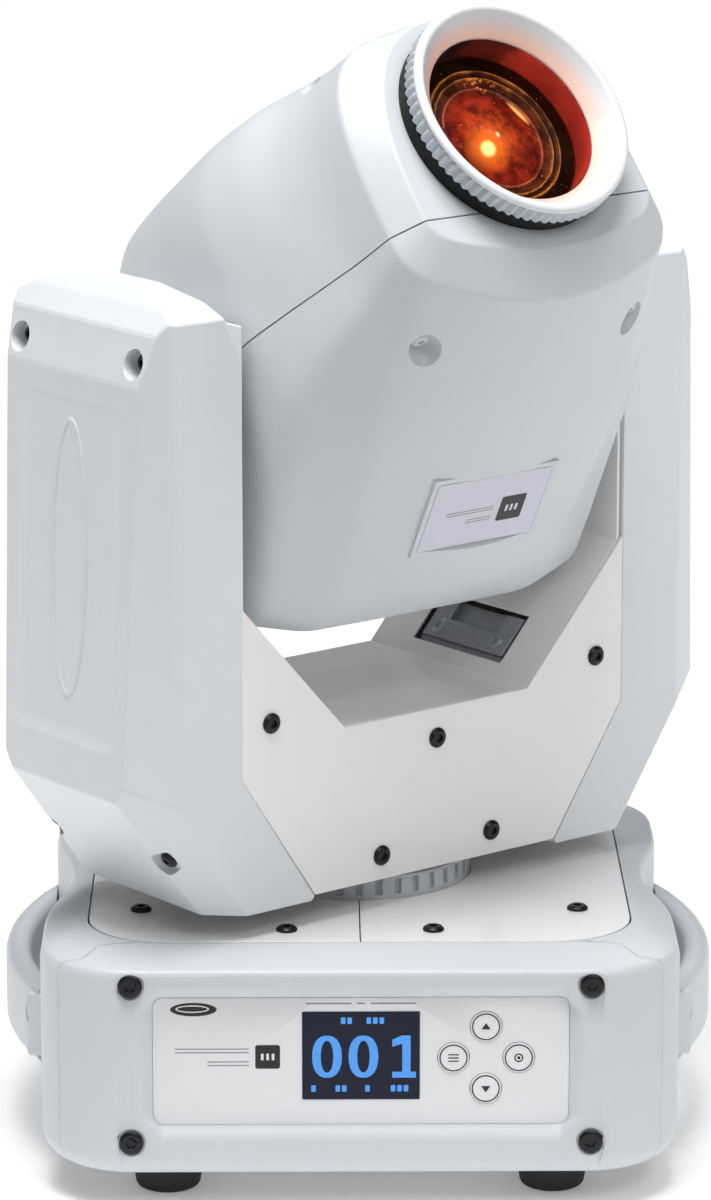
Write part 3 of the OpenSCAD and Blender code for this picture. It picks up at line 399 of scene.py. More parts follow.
def eased(xs, ys, x):
    """A smooth curve through points that doesn't overshoot."""
    h, d = np.diff(xs), np.diff(ys) / np.diff(xs)
    m = np.zeros(len(xs))
    for i in range(1, len(xs) - 1):
        if d[i - 1] * d[i] > 0:
            m[i] = 2 * d[i - 1] * d[i] / (d[i - 1] + d[i])
    m[0], m[-1] = d[0], d[-1]
    i = int(np.clip(np.searchsorted(xs, x) - 1, 0, len(h) - 1))
    t = (x - xs[i]) / h[i]
    return ((1 + 2 * t) * (1 - t) ** 2 * ys[i] + t * (1 - t) ** 2 * h[i] * m[i]
            + t * t * (3 - 2 * t) * ys[i + 1] + t * t * (t - 1) * h[i] * m[i + 1])


def head_params(z):
    low = SECTIONS[:-1]
    if z <= SHOULDER:
        return np.array([eased(low[:, 0], low[:, k], z) for k in range(1, 9)])
    t = (z - SHOULDER) / (NOSE - SHOULDER)
    return SECTIONS[-2, 1:] * (1 - t) + SECTIONS[-1, 1:] * t


def head_outline(z, inset=0.0):
    """The head's outline at height z along the beam, anticlockwise from its right-hand side."""
    zs = [min(max(z + d, TAIL), NOSE) for d in (-0.9, -0.3, 0.3, 0.9)]
    w, front, back, ax, ay, bx, by, sq = np.mean([head_params(q) for q in zs], axis=0)
    mid = SEAM_Y + 5.4 * max(0.0, z - 90) / 34
    w, front, back = w - inset, front + inset * 1.1, back - inset
    a = np.radians(np.linspace(0, 180, 1601))
    x = w * np.sign(np.cos(a)) * np.abs(np.cos(a)) ** (2 / sq)
    y = mid + (back - mid) * np.abs(np.sin(a)) ** (2 / sq)
    run = np.concatenate([[0], np.cumsum(np.hypot(np.diff(x), np.diff(y)))])
    want = np.linspace(0, run[-1], 97)
    rear = np.stack([np.interp(want, run, x), np.interp(want, run, y)], 1)

    facet_end = 0.91  # share of the middle facet's half width where its rounded edge starts

    def bow(u):
        return np.stack([pa[0] * u, front + (pa[1] - front) * u * u], 1)

    def toward(p, q, d):
        return p + (q - p) * min(0.42, d / np.hypot(*(q - p)))

    def turn(p, q, r, n):
        t = np.linspace(0, 1, n)[:, None]
        return (1 - t) ** 2 * p + 2 * t * (1 - t) * q + t * t * r

    pm, pb = np.array((w, mid)), np.array((bx * w, mid + by * (front - mid)))
    pa = np.array((ax * w, mid + ay * (front - mid)))
    b0, b1 = toward(pb, pm, 9), toward(pb, pa, 7)
    a0, a1 = toward(pa, pb, 4.5), bow(np.array([facet_end]))[0]
    t = np.linspace(0, 1, 9)[1:, None]
    quarter = np.concatenate([pm + (b0 - pm) * t, turn(b0, pb, b1, 9)[1:], b1 + (a0 - b1) * t,
                              turn(a0, pa, a1, 9)[1:], bow(np.linspace(facet_end, 0, 16)[1:])])
    mirrored = quarter * (-1, 1)
    return np.concatenate([rear, mirrored[:-1], quarter[::-1]])


def head_solid(name, d):
    lo, hi = TAIL + d, NOSE - d
    rows = [(lo, d + 1.0), (lo + 0.25, d + 0.3), (lo + 1.0, d), (lo + 2.4, d)]
    rows += [(z, d) for z in np.arange(lo + 5, SHOULDER - d - 3, 2.5)]
    rows += [(SHOULDER - d + k, d) for k in (-2.2, -1.2, -0.7, -0.3, 0, 0.3, 0.7, 1.2, 2.2, 4.5, 6.4)]
    rows += [(hi - 1.1, d), (hi - 0.35, d + 0.15), (hi - 0.06, d + 0.6), (hi, d + 1.1)]
    rings = [(head_outline(z, g), z) for z, g in rows]
    return lofted(name, [np.column_stack([ring, np.full(len(ring), z)]) for ring, z in rings], HEAD)


def head_shells():
    wall = 2.6
    screw_x, screw_z = 50, 90.5
    cup_wall = ((3.9, -42.6), (4.3, -43.2), (5.4, -44.9), (6.1, -47.0), (6.6, -50.0), (7.2, -60.0))
    label_at = HEAD @ shift(0, -87.4, 27) @ Matrix.Rotation(radians(65), 4, "X")
    mouth = [(rounded_rect(27.8 + g, 15.5 + g * 1.3, 1.6 + g), z)
             for g, z in ((0.0, -1.6), (0.05, -0.8), (0.5, 0.0), (1.6, 1.4), (4.0, 4.4), (9.0, 11.0))]
    for front in (True, False):
        ob = head_solid("shell_front" if front else "shell_rear", 0.0)
        reach = (-150, SEAM_Y - 0.35) if front else (SEAM_Y + 0.3, 150)
        half = boxy("half", (-130, reach[0], -100), (130, reach[1], 160), HEAD)
        cut(ob, [half], "INTERSECT")
        cut(ob, [head_solid("hollow", wall)])
        cutters = [rod("axle", 10, (-100, 0, 0), (100, 0, 0), HEAD),
                   rod("mouth", 41, (0, BEAM_OFF, 100), (0, BEAM_OFF, 140), HEAD, 96)]
        for yc in range(-42, 31, 9):
            if (yc < -12) == front:
                slot = [[(x, y + yc, z) for x, y in rounded_rect(34, 2, 1.9)] for z in (-72, -60)]
                cutters.append(lofted("slot", slot, HEAD))
        if front:
            # a block behind the label closes the shell where the pocket is deeper than its wall
            cut(ob, [boxy("label_block", (-30, -17.5, -4), (30, 17.5, -1.0), label_at)], "UNION")
            cutters.append(lofted("pocket", [[(x, y, z) for x, y in o] for o, z in mouth], label_at))
            for x0 in (-screw_x, screw_x):
                boss = rod("boss", 7.2, (x0, -70, screw_z), (x0, -39, screw_z), HEAD)
                cut(boss, [head_solid("skin", 0.5)], "INTERSECT")
                cut(ob, [boss], "UNION")
                cup = [[(x0 + x, y, screw_z + z) for x, z in disc_outline(r, 48)] for r, y in cup_wall]
                cutters.append(lofted("cup", cup, HEAD))
        else:
            cutters += [rod("bore", 4.8, (x, 61, screw_z), (x, 100, screw_z), HEAD) for x in (-46, 46)]
        cut(ob, cutters)
        sharpen(ob, 38)
        weighted(ob, True)
        node = "head_shell_front" if front else "head_shell_rear"
        finish_piece(ob, M["shell"], "head", [node])
    return label_at


label_at = head_shells()


# -------------------- base shells
HALF_W, HALF_D, PLATE_W, PLATE_D, CORNER = 120.0, 118.0, 102.5, 96.0, 36.0
BUMP_MID, BUMP_HALF, WAIST = 8.0, 58.0, 8.0
SEAM = HALF_D - 14


def side_x(y):
    if abs(y - BUMP_MID) > BUMP_HALF:
        return HALF_W
    return HALF_W - WAIST * (1 + cos(pi * (y - BUMP_MID) / BUMP_HALF)) / 2


def base_outline(d, t=0.0, arc_n=20, side_n=40):
    mix = lambda a, b: a + (b - a) * t
    cx, cy, r = mix(HALF_W - CORNER, PLATE_W - 30), mix(HALF_D - CORNER, PLATE_D - 30), mix(CORNER - d, 30)
    half = [(cx + r * cos(a), -cy + r * sin(a)) for a in np.radians(np.linspace(-90, 0, arc_n + 1))]
    for i in range(1, side_n):
        f = -1 + 2 * i / side_n
        half.append((mix(side_x(f * cy) - d, PLATE_W), f * cy))
    half += [(cx + r * cos(a), cy + r * sin(a)) for a in np.radians(np.linspace(0, 90, arc_n + 1))]
    return half + [(-x, y) for x, y in reversed(half)]


def base_solid(name, wall):
    """The base's outer body, or with a wall its hollow: skirt, side, then the brim up to the top plates."""
    side_top, brim, rise = (86, 90.4, 4.2) if wall else (89, 93.75, 4.75)
    rows = []
    if wall:
        rows.append((9.0, 0, 11.0))
    for a in np.linspace(0, 90, 9):
        rows.append((9 - 9 * sin(radians(a)) + wall * sin(radians(a)), 0,
                     24 - 11 * cos(radians(a)) + (0.2 if wall else 0)))
    for a in np.linspace(0, 72, 7):
        s = sin(radians(a))
        rows.append((wall + 3 * (1 - sqrt(1 - s * s)), 0, side_top + 5 * s))
    for t in np.linspace(0.1, 1, 9):
        rows.append((wall + 2.1 + 0.9 * min(1, t * 3), t, brim + rise * (1 - (1 - t) ** 1.53)))
    return lofted(name, [[(x, y, z) for x, y in base_outline(d, t)] for d, t, z in rows])


def bezel_region(name, g, turn):
    s = SEAM + g
    pts = [(-140, -140), (140, -140), (140, -s), (103, -s), (97.5, -PLATE_D - g), (-97.5, -PLATE_D - g),
           (-103, -s), (-140, -s)]
    return prism(name, pts, -5, 115, Matrix.Rotation(turn, 4, "Z"))


SCREW_X, SCREW_DZ, PANEL_Z, PANEL_W, PANEL_H = 85.3, 30.4, 57.8, 77.0, 24.5


def panel_outline(e, soft=1.6, n=420):
    """The panel's outline in x and z, with corners that curve in round the screws."""
    w, h, r = PANEL_W + e, PANEL_H + e, 11.5 - e * 0.3
    top = 180 + degrees(asin(min(1, (SCREW_DZ - h) / r)))
    side = 270 - degrees(asin(min(1, (SCREW_X - w) / r)))
    turn = np.radians(np.linspace(side, top, 25))
    q = [(SCREW_X + r * cos(a), SCREW_DZ + r * sin(a)) for a in turn]
    pts = q + [(-x, z) for x, z in q[::-1]] + [(-x, -z) for x, z in q] + [(x, -z) for x, z in q[::-1]]
    p = np.array(pts + pts[:1])
    run = np.concatenate([[0], np.cumsum(np.hypot(*np.diff(p, axis=0).T))])
    want = np.linspace(0, run[-1], n, endpoint=False)
    xs, zs = np.interp(want, run, p[:, 0]), np.interp(want, run, p[:, 1])
    step = run[-1] / n
    k = np.exp(-0.5 * (np.arange(-20, 21) * step / soft) ** 2)
    k /= k.sum()
    smooth = lambda v: sum(k[i + 20] * np.roll(v, i) for i in range(-20, 21))
    return np.stack([smooth(xs), smooth(zs) + PANEL_Z], 1)


def base_shells():
    for side, turn in (("front", 0.0), ("rear", pi)):
        ob = base_solid(f"bezel_{side}", 0)
        inner = base_solid("inner", 3.0)
        keep = boxy("keep", (-130, -140, -10), (130, -HALF_D + 7, 120), Matrix.Rotation(turn, 4, "Z"))
        cut(inner, [keep])
        cut(ob, [bezel_region("region", 0.15, turn)], "INTERSECT")
        cut(ob, [inner])
        holes = [rod("hole", 5.2, (sx * SCREW_X, -HALF_D - 3, PANEL_Z + sz * SCREW_DZ),
                     (sx * SCREW_X, -HALF_D + 0.6, PANEL_Z + sz * SCREW_DZ), Matrix.Rotation(turn, 4, "Z"))
                 for sx in (-1, 1) for sz in (-1, 1)]
        if side == "front":
            profile = ((0.25, 5.6, 1.2), (0.25, 4.0, 1.2), (0.6, 3.85, 1.3), (1.2, 3.3, 1.4), (2.4, 2.2, 1.7),
                       (3.6, 1.15, 2.0), (4.6, 0.5, 2.2), (5.6, 0.14, 2.4), (6.6, 0.0, 2.6), (7.2, -0.6, 2.6))
            rings = []
            for e, depth, soft in profile:
                rings.append([(x, -HALF_D + depth, z) for x, z in panel_outline(e, soft)])
            holes.append(lofted("recess", rings))
            window = lofted("window", [[(x, y, z) for x, z in rounded_rect(66, 20, 2, 4, 0, PANEL_Z)]
                                       for y in (-HALF_D + 12, -HALF_D - 1)])
            holes.append(window)
        else:
            holes.append(boxy("inlet_hole", (-67, 90, 34), (-37, 130, 70)))
            holes += [rod("socket_hole", 12.2, (x, 90, 54), (x, 130, 54)) for x in (22, 58)]
        cut(ob, holes)
        soften(ob, 0.35)
        finish_piece(ob, M["base"], "base", [f"{side}_bezel"])
    for s, side in ((-1, "left"), (1, "right")):
        ob = base_solid(f"side_{side}", 0)
        half = boxy("half", (0.3, -SEAM + 0.15, -5) if s > 0 else (-140, -SEAM + 0.15, -5),
                    (140, SEAM - 0.15, 120) if s > 0 else (-0.3, SEAM - 0.15, 120))
        cut(ob, [half], "INTERSECT")
        plate = prism("plate_hole", [(x * 1.002, y * 1.002) for x, y in base_outline(0, 1.0)], 90, 120)
        under = boxy("under", (-88, -110, 0), (88, 110, 21))
        top = boxy("top", (-80, -110, 90), (80, 110, 120))
        bezels = [bezel_region(name, -0.15, turn) for name, turn in (("rf", 0.0), ("rb", pi))]
        cut(ob, [base_solid("inner", 3.0), plate, *bezels, under, top])
        soften(ob, 0.3)
        finish_piece(ob, M["base"], "base", [f"side_shell_{side}"])


base_shells()


# -------------------- control panel
KEYS = {"up": (46.3, 71.1), "down": (46.3, 47.0), "menu": (34.3, 59.0), "enter": (58.5, 59.0)}
FILM_Y = -114.0
KEY_FACE, INK = FILM_Y - 0.49, 0.03


def front_place(y):
    """Places an outline drawn in x and z on a plane that faces the front."""
    return shift(0, y, 0) @ Matrix.Rotation(radians(90), 4, "X")


def printed(name, outline, y, t, mat, body="base"):
    """A thin printed or raised shape on the panel, from its outline in x and z."""
    return finish_piece(prism(name, outline, 0.0, t, front_place(y)), mat, body)


def ring_shape(name, r_out, r_in, x, z, y, body):
    prof = [(r_in, 0.0), (r_out, 0.0), (r_out, INK), (r_in, INK)]
    piece = spun(name, prof, 72, front_place(y) @ shift(x, z, 0))
    return finish_piece(piece, M["black_ink"], body)


def rule(a, b, z, half=0.22, soft=0.2):
    """The outline of a fine bar from a to b."""
    return rounded_rect((b - a) / 2, half, soft, 3, (a + b) / 2, z)


def oval(x, z, w, h):
    return [(x + w * cos(a), z + h * sin(a)) for a in np.linspace(0, 2 * pi, 64, False)]


def control_panel():
    black, grey, white = M["black_ink"], M["grey_ink"], M["film"]
    film = lofted("panel_overlay", [[(x, y, z) for x, z in panel_outline(0.15, 1.2)]
                                    for y in (FILM_Y + 1.5, FILM_Y)])
    holes = [boxy("w", (-21.8, -140, 42.8), (21.8, 0, 77.0))]
    holes += [rod("k", 6.05, (x, -140, z), (x, 0, z), n=64) for x, z in KEYS.values()]
    cut(film, holes)
    soften(film, 0.12)
    finish_piece(film, white, "base", ["control_panel"])
    for key, (x, z) in KEYS.items():
        body = f"button_{key}"
        prof = [(0.01, -2.0), (5.8, -2.0), (5.8, 0.2), (5.66, 0.38), (5.4, 0.46), (3.0, 0.5), (0.01, 0.5)]
        place = front_place(FILM_Y) @ shift(x, z, 0)
        finish_piece(spun(f"key_{key}", prof, 96, place), white, body, [body])
        ring_shape(f"key_ring_{key}", 5.25, 4.75, x, z, FILM_Y - 0.475, body)
        if key in ("up", "down"):
            k = 1 if key == "up" else -1
            tri = [(x - 1.7, z - k * 1.0), (x + 1.7, z - k * 1.0), (x, z + k * 1.5)]
            printed(f"key_mark_{key}", tri if k > 0 else tri[::-1], KEY_FACE, INK, black, body)
        elif key == "menu":
            for i in (-1, 0, 1):
                bar = rounded_rect(2.0, 0.24, 0.2, 3, x, z + i * 1.25)
                printed(f"key_mark_menu{i + 1}", bar, KEY_FACE, INK, black, body)
        else:
            ring_shape("key_mark_enter", 1.7, 1.2, x, z, KEY_FACE, body)
            printed("key_mark_enter_dot", disc_outline(0.6, 24, x, z), KEY_FACE, INK, black, body)
    # plain oval badge, two fine double rules, a dark square with three bars and a broken heading rule
    printed("badge_rim", oval(-62.0, 78.0, 8.6, 2.6), FILM_Y, 0.04, black)
    printed("badge_line", oval(-62.4, 78.2, 6.2, 1.45), FILM_Y, 0.055, white)
    printed("badge_core", oval(-62.4, 78.2, 5.6, 1.0), FILM_Y, 0.07, black)
    for i, (a, z) in enumerate(((-69, 62.6), (-69, 61.2), (-57, 57.6), (-57, 56.2))):
        printed(f"rule_{i}", rule(a, -41.5, z), FILM_Y, 0.04, grey)
    printed("dark_square", rounded_rect(4.6, 4.6, 0.9, 6, -34.6, 59.5), FILM_Y, 0.05, black)
    for i in (-1, 0, 1):
        bar = rounded_rect(0.5, 1.3, 0.3, 3, -34.6 + 2 * i, 59.5)
        printed(f"square_bar{i + 1}", bar, FILM_Y, 0.07, white)
    for i, (a, b) in enumerate(((-20.5, -3.5), (-1.5, 1.5), (3.5, 20.5))):
        printed(f"heading_{i}", rule(a, b, 80.2, 0.3, 0.25), FILM_Y, 0.04, grey)


control_panel()


def display_marks():
    """Large figures 001 and small bars above and below them, as this kind of display shows."""
    y = FILM_Y - 0.3
    zc, h, w, t = 59.6, 8.2, 5.5, 3.2  # the figures' middle, half height, half width and stroke

    def lit(name, outline, thick=0.04):
        printed(name, outline, y, thick, M["digits"], "base")

    for i, x in enumerate((-12.6, 0.9)):
        a = np.linspace(0, 2 * pi, 65)[:-1]
        sup = lambda v, e: np.sign(v) * np.abs(v) ** e
        outer = np.stack([x + w * sup(np.cos(a), 0.85), zc + h * sup(np.sin(a), 0.9)], 1)
        inner = np.stack([x + (w - t) * sup(np.cos(a), 0.9), zc + (h - 2.0) * sup(np.sin(a), 0.95)], 1)
        n = len(a)
        verts = [(p[0], yy, p[1]) for yy in (y, y - 0.04) for ring in (outer, inner) for p in ring]
        faces = []
        for k in range(n):
            j = (k + 1) % n
            faces += [(2 * n + k, 2 * n + j, 3 * n + j, 3 * n + k), (k, n + k, n + j, j),
                      (k, j, 2 * n + j, 2 * n + k), (n + k, 3 * n + k, 3 * n + j, n + j)]
        figure = mesh_object(f"figure_{i}", verts, faces, None, False)
        finish_piece(figure, M["digits"], "base")
    one = [(13.6, zc - h), (18.4, zc - h), (18.4, zc + h), (15.2, zc + h), (11.6, zc + h - 1.6),
           (11.6, zc + h - 4.4), (15.3, zc + h - 3.2), (15.3, zc - h + 2.2), (13.6, zc - h + 2.2)]
    lit("figure_2", one)
    lit("figure_foot", rounded_rect(4.4, 1.15, 0.2, 3, 16.0, zc - h + 1.1), 0.045)
    bars = [(-7.5, -2.5, 73.6), (2.0, 10.5, 73.6), (-18.5, -17.0, 47.2), (-9.5, -2.5, 47.2), (1.5, 3.0, 47.2),
            (11.0, 18.5, 47.2)]
    for i, (a, b, z) in enumerate(bars):
        for k in range(max(1, int((b - a) / 2.4))):
            c = a + 0.9 + 2.4 * k
            lit(f"figures_small_{i}_{k}", rounded_rect(0.85, 1.25, 0.3, 3, c, z))


display_marks()


# -------------------- label plate on the head
def head_label():
    def mark(name, outline, t, mat):
        return finish_piece(prism(name, outline, -0.9, -0.9 + t, label_at), mat, "head")

    for i, (a, z) in enumerate(((-19, 0.8), (-19, -0.4), (-8, -3.6), (-8, -4.8))):
        mark(f"label_rule_{i}", rule(a, 4, z), 0.04, M["grey_ink"])
    mark("label_square", rounded_rect(6.0, 5.6, 0.9, 6, 13.0, -1.0), 0.05, M["black_ink"])
    for i in (-1, 0, 1):
        mark(f"label_bar{i + 1}", rounded_rect(0.6, 1.5, 0.3, 3, 13.0 + 2.3 * i, -1.0), 0.07, M["lilac"])


head_label()


# -------------------- focus ring and lens
def focus_ring():
    """Grip beads round the outside, a broad rounded lip and a smooth funnel inside."""
    teeth, per = 72, 8
    n = teeth * per
    a = np.arange(n) * 2 * pi / n
    bead = (0.5 + 0.5 * np.cos(teeth * a)) ** 0.8
    # radius, height along the beam and the share of the beads' depth
    profile = [(38.05, 118, 0), (40, 118, 0), (40, 130.3, 0), (43.2, 130.3, 0), (43.5, 130.6, 0.7),
               (43.55, 131.6, 1), (43.6, 133.4, 1), (43.6, 135.4, 1), (43.5, 136.6, 0.8),
               (43.6, 137.1, 0), (44.3, 137.3, 0),
               (44.9, 137.7, 0), (45.05, 138.2, 0), (44.8, 138.9, 0), (44.1, 139.4, 0), (43.2, 139.6, 0),
               (42.2, 139.5, 0), (41.5, 139.1, 0), (41.0, 138.4, 0), (39.6, 136.8, 0), (37.6, 134.4, 0),
               (35.6, 132.2, 0), (34.7, 131.3, 0), (34.4, 130.9, 0), (34.4, 130.35, 0), (38.05, 130.35, 0)]
    rings = []
    for r, z, k in profile:
        rr = r + 1.5 * bead * k
        rings.append(np.stack([rr * np.cos(a), rr * np.sin(a) + BEAM_OFF, np.full(n, float(z))], 1))
    ob = mesh_object("focus_grip", np.concatenate(rings), tube_faces(len(profile), n, True), HEAD)
    sharpen(ob, 50)
    return ob


LENS_POINT = HEAD @ (Vector((0, BEAM_OFF, 121)) * MM)
ACROSS, UPWARD = HEAD.to_3x3() @ Vector((1, 0, 0)), HEAD.to_3x3() @ Vector((0, 1, 0))


def funnel_material():
    """White plastic with painted warm light near the lens, in its colour and a faint emission, and painted
    shade on the grip beads.
    """
    n = Nodes("ring_plastic_painted_glow")
    color = (0.83, 0.85, 0.875)
    big = n.noise(20.0, 3.0, 0.5)
    tone = n.ramp(big, [(0.3, shade(color, 0.97)), (0.7, shade(color, 1.02))])
    centre = HEAD @ (Vector((0, BEAM_OFF, 131)) * MM)
    off = vector_node(n, "SUBTRACT", n.coord, tuple(centre))
    along = vector_node(n, "DOT_PRODUCT", off, tuple(beam), "Value")
    dist = length(n, off)
    # painted glow: the funnel near the lens turns warm and emits a little, as light from the lens
    near = n.span(dist, 1.0, 0.0, 0.0345, 0.0405)
    glow = math_node(n, "MULTIPLY", near, n.span(along, 0.0, 1.0, -0.0002, 0.0004))
    warm = over(n, glow, tone, (0.92, 0.60, 0.47, 1))
    # painted shade: the grip beads are a touch greyer than the lip
    grip = math_node(n, "MULTIPLY", n.span(along, 0.0, 1.0, 0.0066, 0.0060),
                     n.span(dist, 0.0, 1.0, 0.0428, 0.0436))
    warm = over(n, grip, warm, (0.60, 0.65, 0.70, 1))
    fine = n.noise(1500.0, 2.0, 0.6)
    return n.surface(Base_Color=warm, Roughness=n.span(fine, 0.26, 0.36),
                     Normal=n.bump(fine, 0.12, 0.00003), Emission_Color=(1.0, 0.32, 0.14, 1),
                     Emission_Strength=math_node(n, "MULTIPLY", glow, 0.13))


finish_piece(focus_ring(), funnel_material(), "focus_ring", ["focus_ring"])


def beam_plane(n):
    """Position across the beam in millimetres, and the distance from the beam axis."""
    off = vector_node(n, "SUBTRACT", n.coord, tuple(LENS_POINT))
    axes = [vector_node(n, "DOT_PRODUCT", off, tuple(a), "Value") for a in (ACROSS, UPWARD)]
    flat = n.add("ShaderNodeCombineXYZ", {0: axes[0], 1: axes[1]}).outputs[0]
    flat = n.add("ShaderNodeVectorMath", {0: flat, "Scale": 1000.0}, operation="SCALE").outputs[0]
    return flat, length(n, flat)


def spot(n, flat, at, size, soft=0.3):
    """1 inside an ellipse that is turned to lie along the rings, fading to 0 at its rim."""
    off = vector_node(n, "SUBTRACT", flat, (*at, 0))
    turn = -atan2(at[1], at[0])
    off = n.add("ShaderNodeMapping", {"Vector": off, "Rotation": (0, 0, turn)}).outputs[0]
    off = vector_node(n, "MULTIPLY", off, (1 / size[0], 1 / size[1], 0))
    return n.span(length(n, off), 1.0, 0.0, soft, 1.0)


def optic_material():
    """The lens stack behind the front lens, painted to glow: rings, dark land with gilt flecks, and a
    speckled dome with a painted hot spot, halo, highlights and sparks.
    """
    n = Nodes("optics_painted_glow")
    flat, r = beam_plane(n)
    wobble = n.noise(160.0, 4.0, 0.65)
    fac = math_node(n, "ADD", math_node(n, "DIVIDE", r, 36.0), n.span(wobble, -0.006, 0.006))
    gold, land, brown = (0.42, 0.22, 0.05), (0.006, 0.003, 0.002), (0.05, 0.014, 0.007)
    col = n.ramp(fac, [(0.0, (0.36, 0.08, 0.020)), (0.25, (0.26, 0.04, 0.014)), (0.45, (0.20, 0.02, 0.010)),
                       (0.565, (0.11, 0.012, 0.008)), (0.583, (0.34, 0.11, 0.08)), (0.60, brown),
                       (0.68, (0.08, 0.026, 0.012)), (0.694, gold), (0.708, land), (0.752, brown),
                       (0.765, gold), (0.782, land), (0.93, land), (0.97, (0.10, 0.015, 0.008))])
    patch = n.ramp(n.noise(120.0, 5.0, 0.7), [(0.40, (0.25, 0.20, 0.22)), (0.60, (1.5, 1.3, 1.0))])
    col = over(n, 0.85, col, patch, "MULTIPLY")
    flecks = n.add("ShaderNodeTexVoronoi", {"Vector": n.coord, "Scale": 520.0}).outputs["Distance"]
    sparse = n.span(n.noise(110.0, 2.0, 0.5), 0.0, 1.0, 0.50, 0.60)
    fleck = math_node(n, "MULTIPLY", n.span(flecks, 1.0, 0.0, 0.06, 0.15), sparse)
    fleck = math_node(n, "MULTIPLY", fleck, n.span(r, 0.8, 0.45, 24.0, 29.0))
    col = over(n, fleck, col, (0.95, 0.48, 0.12, 1))
    # painted sparks: orange glints in one patch of the dome
    painted_sparks = math_node(n, "MULTIPLY", spot(n, flat, (5, 22), (3.4, 8.0)),
                       n.span(flecks, 1.0, 0.0, 0.18, 0.42))
    col = over(n, painted_sparks, col, (1.0, 0.36, 0.08, 1))
    # painted halo round the hot spot
    painted_halo = math_node(n, "MULTIPLY", spot(n, flat, (-6, -5), (11.0, 10.0), 0.05), 0.75)
    col = over(n, painted_halo, col, (0.95, 0.24, 0.03, 1))
    # painted highlights: a gold arc and a small pale spot
    col = over(n, spot(n, flat, (17, 9), (1.5, 6.5)), col, (1.0, 0.66, 0.20, 1))
    col = over(n, spot(n, flat, (1, 0.1), (1.0, 1.5)), col, (1.0, 0.80, 0.55, 1))
    # painted hot spot: the brightest point of the dome
    painted_hot_spot = spot(n, flat, (-6, -5), (4.2, 3.6), 0.45)
    col = over(n, painted_hot_spot, col, (1.0, 0.80, 0.26, 1))
    # every colour is also emitted, a painted glow that is strongest at the hot spot
    strength = math_node(n, "ADD", math_node(n, "MULTIPLY", painted_hot_spot, 0.8), 0.85)
    return n.surface(Base_Color=col, Roughness=n.span(wobble, 0.4, 0.5), Emission_Color=col,
                     Emission_Strength=strength, Specular_IOR_Level=0.06, Normal=n.bump(wobble, 0.1, 0.0001))


def lens_wall_material():
    """The inside of the lens cell: lit red on one side, nearly black on the other."""
    n = Nodes("lens_cell_lit")
    flat = beam_plane(n)[0]
    side = n.add("ShaderNodeSeparateXYZ", {0: flat}).outputs[0]
    grain = n.noise(90.0, 3.0, 0.6)
    fac = math_node(n, "ADD", n.span(side, 0.0, 1.0, -34.0, 34.0), n.span(grain, -0.14, 0.10))
    col = n.ramp(fac, [(0.0, (0.006, 0.003, 0.003)), (0.45, (0.012, 0.004, 0.004)),
                       (0.7, (0.10, 0.010, 0.006)), (0.88, (0.30, 0.022, 0.012)), (1.0, (0.22, 0.016, 0.01))])
    return n.surface(Base_Color=col, Roughness=n.span(grain, 0.4, 0.5), Emission_Color=col,
                     Emission_Strength=0.8, Specular_IOR_Level=0.1, Normal=n.bump(grain, 0.1, 0.00003))


def lens_parts():
    place = HEAD @ shift(0, BEAM_OFF, 0)
    # the clear front lens: a domed front face on a rim
    dome = [(r, 71 + sqrt(60.0 ** 2 - r * r)) for r in np.linspace(33.0, 0.02, 26)]
    edge = dome[0][1]
    back = [(0.02, edge - 0.6), (20, edge - 0.5), (32.0, edge - 0.4), (33.0, edge - 0.3)]
    lens = spun("front_lens_glass", back + dome, 128, place)
    n = Nodes("lens_glass_clear")
    smear = n.noise(45.0, 4.0, 0.6)
    glass = n.add("ShaderNodeBsdfTransparent", {"Color": (1.0, 0.90, 0.84, 1)})
    gloss = n.add("ShaderNodeBsdfPrincipled", {
        "Base Color": n.ramp(smear, [(0.3, (0.012, 0.003, 0.002)), (0.7, (0.020, 0.005, 0.003))]),
        "Roughness": n.span(smear, 0.03, 0.10), "Specular IOR Level": 0.5,
        "Normal": n.bump(smear, 0.02, 0.0001)})
    fres = n.add("ShaderNodeFresnel", {"IOR": 1.45})
    fac = n.span(fres.outputs[0], 0.015, 0.2, 0.03, 0.6)
    mix = n.add("ShaderNodeMixShader", {"Fac": fac, 1: glass.outputs[0], 2: gloss.outputs[0]})
    n.tree.links.new(mix.outputs[0], n.out.inputs[0])
    finish_piece(lens, n.mat, "lens_carriage", ["front_lens"])
    # the cell that holds the lens, lit from within
    wall = [(34.2, 118.4), (35.9, 118.0), (35.9, 129.6), (35.3, 130.2), (34.5, 130.2), (34.2, 129.8)]
    cell = spun("lens_cell", wall, 128, place)
    finish_piece(cell, lens_wall_material(), "lens_carriage")
    # the stepped stack behind it: black land, two gilt edges, brown land and a shallow speckled dome
    front = [(34.6, 119.3), (28.1, 118.9), (27.7, 119.6), (27.2, 119.6), (26.9, 118.5), (25.4, 118.3),
             (25.15, 118.9), (24.75, 118.9), (24.5, 117.9), (21.4, 117.4), (21.15, 117.9), (20.8, 117.9),
             (20.5, 117.2)]
    crown = [(r, 117.0 + sqrt(80.0 ** 2 - r * r) - sqrt(80.0 ** 2 - 20.3 ** 2))
             for r in np.linspace(20.3, 0.02, 20)]
    stack = spun("lens_stack", [(0.02, 114.5), (20, 114.5), (34.6, 116.5)] + front + crown, 128, place)
    finish_piece(stack, optic_material(), "lens_carriage")


lens_parts()


